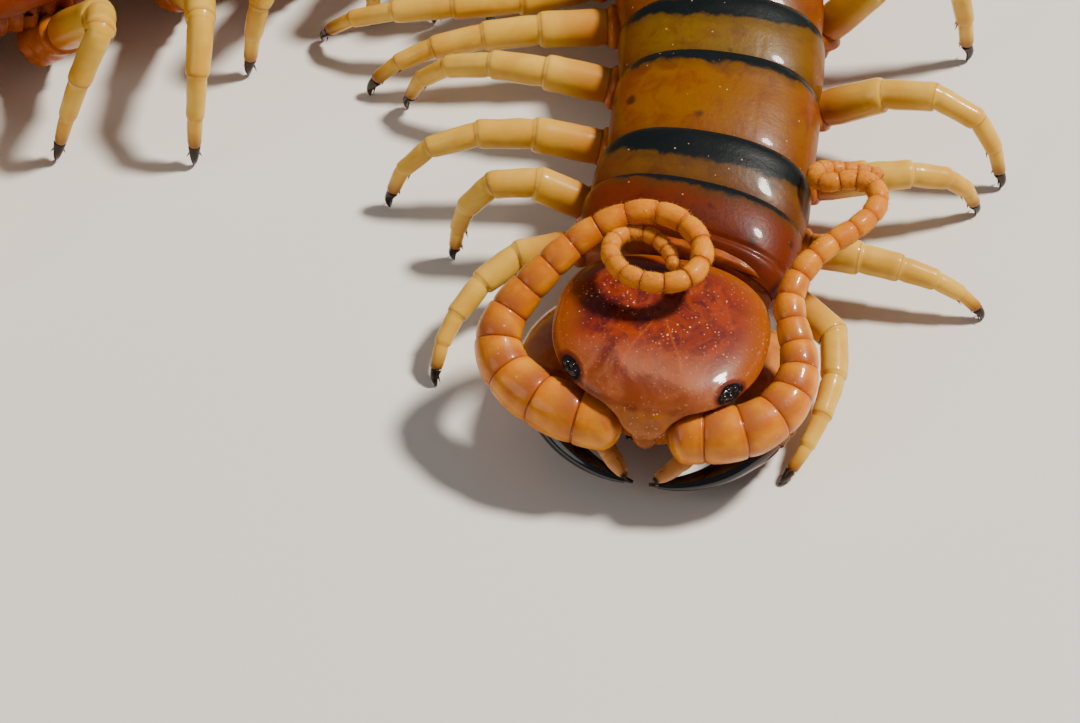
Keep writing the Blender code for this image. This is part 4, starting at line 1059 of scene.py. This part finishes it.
def foot_claw_form(i, side):
    """The dark claw on a leg's tip, curved down, with two small spurs at its base."""
    joints, across = leg_line(i, side)
    scale = float(along(LEG_SCALE, i))
    root = joints[5] + (joints[6] - joints[5]) * 0.1
    way = unit(joints[6] - joints[5])
    length = np.linalg.norm(joints[6] - root)
    t = np.linspace(0, 1, 22)
    bulge = np.cross(across, way)
    bulge = bulge * (1 if bulge[2] > 0 else -1)
    centres = root + way * (length * t)[:, None] + bulge * (0.14 * length * np.sin(math.pi * t))[:, None]
    radius = 0.17 * scale * (1 - t) ** 0.7 + 0.016
    rings = swept(centres, radius, across, 14)
    rings[..., 2] = np.maximum(rings[..., 2], 0.0)
    forms = [tube(rings, ring_marks(t, None, 14))]
    for turn in (-1, 1):
        base = root + way * (0.2 * length) + across * (turn * 0.09 * scale)
        forms.append(spike(base, unit(way + across * (turn * 0.5)), 0.3 * scale, 0.04 * scale))
    return joined(forms)


def hip_form(i, side):
    """The hip that a leg grows from, part of the flank."""
    joints, across = leg_line(i, side)
    way = unit(joints[1] - joints[0])
    scale = float(along(LEG_SCALE, i))
    radius = LEG_RADII[0][0] * scale
    inner = 1.6 if i < SEGMENTS else 2.1
    t = np.linspace(0, 1, 26)
    centres = joints[0] - way * (inner * (1 - t))[:, None]
    size = radius * (1.22 - 0.16 * t + 0.05 * np.sin(t * 16) - 0.16 * smooth(0.93, 1.0, t))
    rings = swept(centres, size, across, 30)
    relief = 0.02 * waves(rings, 0.5, 200 + i)
    rings = raised(rings, centres[:, None], relief)
    forms = [tube(rings, ring_marks(t, None, 30))]
    if i == SEGMENTS:
        for turn in (-0.3, 0.15):
            base = joints[0] - way * 0.1 - UP * 0.8 + across * turn
            forms.append(spike(base, unit(way - UP * 0.1), 0.34, 0.09))
    return joined(forms)


# Feelers


def feeler_line(side):
    step = 0.05
    count = int(FEELER_LENGTH[side] / step)
    heights = along(FEELER_HEIGHT[side], np.arange(count + 1) * step)
    rises = np.diff(heights)
    level = np.sqrt(np.maximum(step * step - rises * rises, 0.0))
    moves = heading(along(FEELER_HEADING[side], (np.arange(count) + 0.5) * step)) * level[:, None]
    line = feeler_root(side) + np.concatenate([np.zeros((1, 3)), np.cumsum(moves, 0)])
    line[:, 2] = heights
    return line


def feeler_rings(side, first, last, sides):
    """Rings for the articles from first to last, with their marks and middles."""
    line = feeler_line(side)
    count = FEELER_ARTICLES[side]
    weights = along(ARTICLE_LENGTH, np.arange(count))
    ends = np.concatenate([[0.0], np.cumsum(weights)]) / weights.sum()
    local = np.concatenate([(0.0, 0.012, 0.03), np.linspace(0.06, 0.92, 13), (0.95, 0.968, 0.982, 0.994)])
    shares, locals_, radii = [], [], []
    for k in range(first, last):
        depth = 0.05 + 0.09 * smooth(3, 11, k)
        swell = 1.03 - depth * np.abs(1.04 * (0.56 - local) / 0.52) ** 3
        swell = swell - 0.035 * (smooth(0.05, 0.0, local) + smooth(0.95, 1.0, local))
        if k == 0:
            swell = swell * np.sqrt(1 - 0.85 * (1 - np.minimum(local / 0.42, 1.0)) ** 2)
        if k == count - 1:
            swell = swell * np.sqrt(np.maximum(1 - smooth(0.55, 1.0, local) ** 2 * 0.97, 0.02))
        share = ends[k] + (ends[k + 1] - ends[k]) * local
        shares.append(share)
        locals_.append(local)
        radii.append(along(FEELER_RADIUS, share) * swell)
    share, local, radius = (np.concatenate(x) for x in (shares, locals_, radii))
    steps = np.linspace(0, 1, len(line))
    centres = np.stack([np.interp(share, steps, line[:, axis]) for axis in range(3)], -1)
    rings = swept(centres, radius, UP, sides)
    relief = 0.008 * waves(rings, 1.1, 300 + side)
    rings = raised(rings, centres[:, None], relief)
    return rings, ring_marks(share, None, sides, local), centres


def feeler_form(side, first, last):
    rings, marks, _ = feeler_rings(side, first, last, 40)
    return tube(rings, marks)


def feeler_hairs(side, per_article=150):
    """Fine short hairs on the outer articles, and a few on the first ones, pointing to the tip."""
    random = np.random.default_rng(7 + side)
    rings, marks, centres = feeler_rings(side, 0, FEELER_ARTICLES[side], 40)
    per = len(rings) // FEELER_ARTICLES[side]
    points, faces, patches = [], [], []
    for k in range(FEELER_ARTICLES[side]):
        thick = smooth(SMOOTH_ARTICLES - 3, SMOOTH_ARTICLES + 3, k)
        for _ in range(int(per_article * thick) + 7):
            row = k * per + random.integers(2, per - 2)
            column = random.integers(0, rings.shape[1])
            root = rings[row, column]
            out = unit(root - centres[row])
            tip_way = unit(centres[min(row + 1, len(centres) - 1)] - centres[row - 1])
            way = unit(out * random.uniform(0.5, 1.1) + tip_way + random.normal(size=3) * 0.16)
            length = random.uniform(0.07, 0.125)
            one = unit(np.cross(way, UP + 0.01)) * 0.0065
            two = unit(np.cross(way, one)) * 0.0065
            start = len(points)
            base = root - out * 0.012
            points += [base + one, base - one * 0.5 + two * 0.87, base - one * 0.5 - two * 0.87,
                       root + way * length]
            faces += [[start, start + 1, start + 3], [start + 1, start + 2, start + 3],
                      [start + 2, start, start + 3], [start + 2, start + 1, start]]
            patches += [(row / len(rings), column / rings.shape[1])] * 4
    points = np.array(points)
    marks = np.zeros_like(points)
    return (points, outward(points, faces), marks), np.array(patches)


# Mouthparts


def claw_point(share):
    angle = np.radians(CLAW_ANGLES[0] + (CLAW_ANGLES[1] - CLAW_ANGLES[0]) * np.asarray(share))
    length = np.where(angle > 0, CLAW_ELLIPSE[1], CLAW_BACK)
    return CLAW_ELLIPSE[0] * np.cos(angle), CLAW_FORWARD + length * np.sin(angle)


def claw_form(side, first, last):
    """A stretch of a poison claw: its swollen base, two short articles, or its fang."""
    share = np.linspace(first, last, int((last - first) * 240))
    x, y = claw_point(share)
    centres = head_point(side * x, y, along(CLAW_HEIGHT, share))
    radius = along(CLAW_RADIUS, share)
    for seam, deep in ((0.36, 0.12), (0.42, 0.12), (0.475, 0.08)):
        lip = 0.03 * bump(share, seam - 0.014, 0.008)
        radius = radius * (1 - deep * bump(share, seam, 0.006)) * (1 + lip)
    radius = radius * np.where(share > 0.97, 0.8, 1.0)
    if first == 0:
        radius = radius * np.sqrt(1 - 0.97 * (1 - np.minimum(share / 0.07, 1.0)) ** 2)
    if last < 1:
        radius = radius * (1 - 0.4 * smooth(last - 0.012, last, share))
    rings = swept(centres, radius, UP, 48, 0.62 + 0.18 * smooth(0.42, 0.55, share))
    relief = 0.012 * waves(rings, 1.2, 400 + side)
    fading = smooth(0.8, 0.5, share)[:, None, None]
    rings = rings + unit(rings - centres[:, None]) * relief[..., None] * fading
    return tube(rings, ring_marks(share, None, 48))


def claw_base_form():
    """The plate that joins the poison claws under the head, with a seam down its middle."""
    stations = ((-2.5, 0.95, 0.95, 1.8), (-1.6, 1.45, 0.8, 2.0), (-0.5, 1.75, 0.72, 2.02),
                (0.4, 1.6, 0.75, 1.95), (1.1, 1.05, 0.85, 1.6), (1.45, 0.85, 0.95, 1.45))
    cosines, sines = circle(64)
    x = np.sign(cosines) * np.abs(cosines) ** 0.75
    z = 0.5 + 0.5 * np.sign(sines) * np.abs(sines) ** 0.75
    rings = loft([head_point(half * x, forward, low + (high - low) * z) for forward, half, low, high
                  in stations], 60)
    seam = 0.06 * bump(x, 0.0, 0.07) * (sines < 0)
    rings = rings + UP * (seam + 0.012 * waves(rings, 0.9, 500))[..., None]
    return tube(rings, ring_marks(np.linspace(0, 1, 60), None, 64))


def lips_form():
    """The two toothed lips in front of the claw base."""
    forms = []
    cosines, sines = circle(24)
    x, z = (np.sign(a) * np.abs(a) ** 0.55 for a in (cosines, sines))
    for side, _ in SIDES:
        stations = ((1.0, 0.34, 0.22), (1.4, 0.33, 0.2), (1.75, 0.31, 0.17), (1.95, 0.28, 0.12))
        rings = loft([head_point(side * (0.42 + x * wide), forward, 1.2 + z * tall)
                      for forward, wide, tall in stations], 16)
        forms.append(tube(rings, np.zeros_like(rings)))
        for k in range(4):
            base = head_point(side * (0.2 + 0.15 * k), 1.86, 1.2)
            forms.append(dome(base, HEAD_FORWARD, 0.075, 0.24, 8, 12))
    return joined(forms)


def palp_form(side):
    """A mouth palp of three articles with a small dark claw."""
    knots = np.array(PALP_STATIONS)
    at = np.linspace(0, 5, 90)
    index = np.arange(6)
    x, forward, height, radius = (along(np.stack([index, knots[:, k]], 1), at) for k in range(4))
    centres = head_point(side * x, forward, height)
    radius = radius * (1 - 0.10 * bump(at, 1.2, 0.06) - 0.10 * bump(at, 2.9, 0.06)) * (1 - 0.3 * (at > 4.97))
    rings = swept(centres, radius, UP, 32, 0.72)
    inner = 0.05 * bump(at, 3.2, 1.0)
    rings = rings + UP * (inner[:, None] * 0.5 * waves(rings, 0.7, 600 + side))[..., None]
    return tube(rings, ring_marks(at / 5, None, 32))


def palp_hairs(side):
    """The brush of fine hairs inside a palp's last article."""
    random = np.random.default_rng(80 + side)
    forms, patches = [], []
    for _ in range(70):
        t = random.uniform(0.1, 1.0)
        x, forward = 1.02 - 0.5 * t, 2.95 + 0.75 * t
        root = head_point(side * x, forward, 1.5 + random.uniform(-0.12, 0.2))
        way = unit(HEAD_LEFT * (-side * random.uniform(0.3, 1.0)) + HEAD_FORWARD * random.uniform(0.1, 0.9)
                   + UP * random.uniform(-0.5, 0.5))
        forms.append(spike(root, way, random.uniform(0.22, 0.36), 0.011, 3, None, 3))
        patches += [(t * 0.9, random.uniform(0.0, 0.9))] * len(forms[-1][0])
    return joined(forms), np.array(patches)


# The model


def build_head():
    head = piece("head_shell", head_form(), head_finish(), "head_plate", "head")
    face = face_finish()
    piece("face", face_form(), face, "head_plate", "head")
    piece("feeler_sockets", joined([socket_form(side) for side, _ in SIDES]), face, "head_plate", "head")
    lens = lens_finish()
    for side, word in SIDES:
        piece(f"eyes_{word}", eye_form(side), lens, "eye_lens", f"eye_{word}")
    return head


def build_trunk():
    skin = plain_shell("body_skin", (0.32, 0.070, 0.001), (0.20, 0.030, 0.002), 0.36, 0.2, 0.15, 1.4, 0.05)
    lengths = [f"trunk_{number}" for number in range(1, 8)]
    piece("body_skin", skin_form(), skin, "back_plate", *lengths)
    hips = [hip_form(i, side) for i in range(1, SEGMENTS + 1) for side, _ in SIDES]
    hip = plain_shell("hip_shell", (0.42, 0.110, 0.001), (0.30, 0.055, 0.001), 0.28, 0.25, 0.3)
    piece("hips", joined(hips), hip, "back_plate", *lengths)
    finishes = {kind: back_finish(f"back_{kind}", *colours) for kind, colours in BACK_COLOURS.items()}
    for i in range(1, SEGMENTS + 1):
        kind = {1: "first", 2: "second"}.get(i, "long" if i in LONG_SEGMENTS or i == SEGMENTS else "short")
        piece(f"back_plate_{i:02d}", back_form(i), finishes[kind], "back_plate", lengths[(i - 1) // 3])
    belly = plain_shell("belly_shell", (0.36, 0.130, 0.008), (0.27, 0.075, 0.003), 0.28, 0.2, 0.3)
    for number in range(7):
        plates = [belly_form(i) for i in range(3 * number + 1, 3 * number + 4)]
        piece(f"belly_plates_{number + 1}", joined(plates), belly, "back_plate", lengths[number])
    holes = [spiracle_form(i, side) for i in (3, 5, 8, 10, 12, 14, 16, 18, 20) for side, _ in SIDES]
    rim = plain_shell("spiracle_rim", (0.10, 0.018, 0.002), (0.045, 0.008, 0.002), 0.3, 0.1, 0.3)
    piece("spiracles", joined(holes), rim, "back_plate", *lengths)


def build_legs():
    shell_finish = leg_finish()
    dark = plain_shell("foot_claw", (0.040, 0.012, 0.003), (0.008, 0.004, 0.003), 0.2, 0.1, 0.5)
    for side, word in SIDES:
        nodes = []
        claws = []
        for i in range(1, SEGMENTS + 1):
            nodes.append(f"leg_{word}_{i:02d}")
            piece(f"leg_shell_{word}_{i:02d}", leg_form(i, side), shell_finish, "leg_shell", nodes[-1])
            claws.append(foot_claw_form(i, side))
        piece(f"foot_claws_{word}", joined(claws), dark, "leg_shell", *nodes)


def build_feelers():
    glossy = feeler_finish("feeler_glossy", 0.45, 0.30, 0.4)
    matte = feeler_finish("feeler_matte", 0.08, 0.38, 0.4)
    hair = plain_shell("feeler_hair", (0.60, 0.26, 0.04), (0.46, 0.17, 0.02), 0.5, 0.0, 0.0)
    for side, word in SIDES:
        node = f"antenna_{word}"
        piece(f"feeler_base_{word}", feeler_form(side, 0, SMOOTH_ARTICLES), glossy, "feeler_shell", node)
        outer = feeler_form(side, SMOOTH_ARTICLES, FEELER_ARTICLES[side])
        piece(f"feeler_tip_{word}", outer, matte, "feeler_shell", node)
        form, patches = feeler_hairs(side)
        made = piece(f"feeler_hairs_{word}", form, hair, "feeler_shell", node)
        patch_map(made, patches)


def patch_map(made, patches):
    """A map where each hair is a small patch at its root's place along and round what it grows on."""
    layer = made.data.uv_layers.new(name="OFBake")
    corners = np.zeros(len(made.data.loops), np.int32)
    made.data.loops.foreach_get("vertex_index", corners)
    shift = np.array(((0, 0), (0.003, 0), (0, 0.003), (0.003, 0.003)))[corners % 4]
    layer.uv.foreach_set("vector", (patches[corners] * 0.99 + shift).astype(np.float32).ravel())


def build_mouth():
    shell_finish = claw_finish()
    palp = palp_finish()
    base = plain_shell("claw_base_shell", (0.25, 0.060, 0.003), (0.14, 0.028, 0.002), 0.24, 0.15, 0.4)
    teeth = plain_shell("lip_teeth", (0.06, 0.018, 0.008), (0.02, 0.008, 0.005), 0.18, 0.0, 0.6)
    piece("claw_base_plate", claw_base_form(), base, "mouth_shell", "claw_base")
    piece("toothed_lips", lips_form(), teeth, "mouth_shell", "claw_base")
    hair = plain_shell("palp_hair", (0.42, 0.20, 0.05), (0.30, 0.12, 0.03), 0.5, 0.0, 0.0)
    for side, word in SIDES:
        node = f"forcipule_{word}"
        piece(f"claw_shell_{word}", claw_form(side, 0.0, 0.475), shell_finish, "fang_shell", node)
        piece(f"fang_{word}", claw_form(side, 0.462, 1.0), shell_finish, "fang_shell", node)
        piece(f"palp_shell_{word}", palp_form(side), palp, "mouth_shell", f"palp_{word}")
        form, patches = palp_hairs(side)
        made = piece(f"palp_brush_{word}", form, hair, "mouth_shell", f"palp_{word}")
        patch_map(made, patches)


def build_camera():
    right = np.array((1.0, 0.0, 0.0))
    above = np.array((0.0, math.sin(CAMERA_ELEVATION), math.cos(CAMERA_ELEVATION)))
    away = np.array((0.0, math.cos(CAMERA_ELEVATION), -math.sin(CAMERA_ELEVATION)))
    per_mm = CAMERA_FOCUS_PX / CAMERA_DISTANCE
    aim = np.array((0.0, 0.0, 4.6))
    aim = aim - right * ((HEAD_PX[0] - IMAGE_MIDDLE_PX[0]) / per_mm)
    aim = aim - above * ((IMAGE_MIDDLE_PX[1] - HEAD_PX[1]) / per_mm)
    data = bpy.data.cameras.new("camera")
    data.sensor_width = 36.0
    data.lens = data.sensor_width * CAMERA_FOCUS_PX / IMAGE_WIDTH_PX
    data.clip_start = 0.005
    data.clip_end = 20.0
    camera = bpy.data.objects.new("camera", data)
    bpy.context.scene.collection.objects.link(camera)
    matrix = np.eye(4)
    matrix[:3, 0], matrix[:3, 1], matrix[:3, 2] = right, above, -away
    matrix[:3, 3] = (aim - away * CAMERA_DISTANCE + CENTRING) * METRES
    camera.matrix_world = Matrix(matrix.tolist())
    bpy.context.scene.camera = camera


def area_light(name, place, target, size, power, colour):
    data = bpy.data.lights.new(name, "AREA")
    data.shape = "DISK"
    data.size = size
    data.energy = power
    data.color = colour
    light = bpy.data.objects.new(name, data)
    bpy.context.scene.collection.objects.link(light)
    back = unit(np.array(place) - np.array(target))
    side = unit(np.cross(UP, back))
    matrix = np.eye(4)
    matrix[:3, 0], matrix[:3, 1], matrix[:3, 2], matrix[:3, 3] = side, np.cross(back, side), back, place
    light.matrix_world = Matrix(matrix.tolist())


def build_studio():
    mesh = bpy.data.meshes.new("floor")
    reach = 1.5
    mesh.from_pydata([(-reach, -reach, 0), (reach, -reach, 0), (reach, reach, 0), (-reach, reach, 0)], [],
                     [(0, 1, 2, 3)])
    made, _, _ = new_material("floor", Base_Color=(0.72, 0.68, 0.62, 1.0), Roughness=0.7)
    mesh.materials.append(made)
    floor = bpy.data.objects.new("floor", mesh)
    bpy.context.scene.collection.objects.link(floor)
    world = bpy.data.worlds.new("studio")
    world.use_nodes = True
    world.node_tree.nodes["Background"].inputs["Color"].default_value = (0.80, 0.88, 1.0, 1.0)
    world.node_tree.nodes["Background"].inputs["Strength"].default_value = 0.20
    bpy.context.scene.world = world
    area_light("key", (0.30, 0.07, 0.42), (0.0, 0.0, 0.0), 0.075, 5.0, (1.0, 0.95, 0.87))
    area_light("fill", (-0.30, -0.20, 0.26), (0.0, 0.0, 0.0), 0.3, 0.45, (1.0, 0.96, 0.92))


build_camera()
build_studio()
build_head()
build_trunk()
build_legs()
build_feelers()
build_mouth()
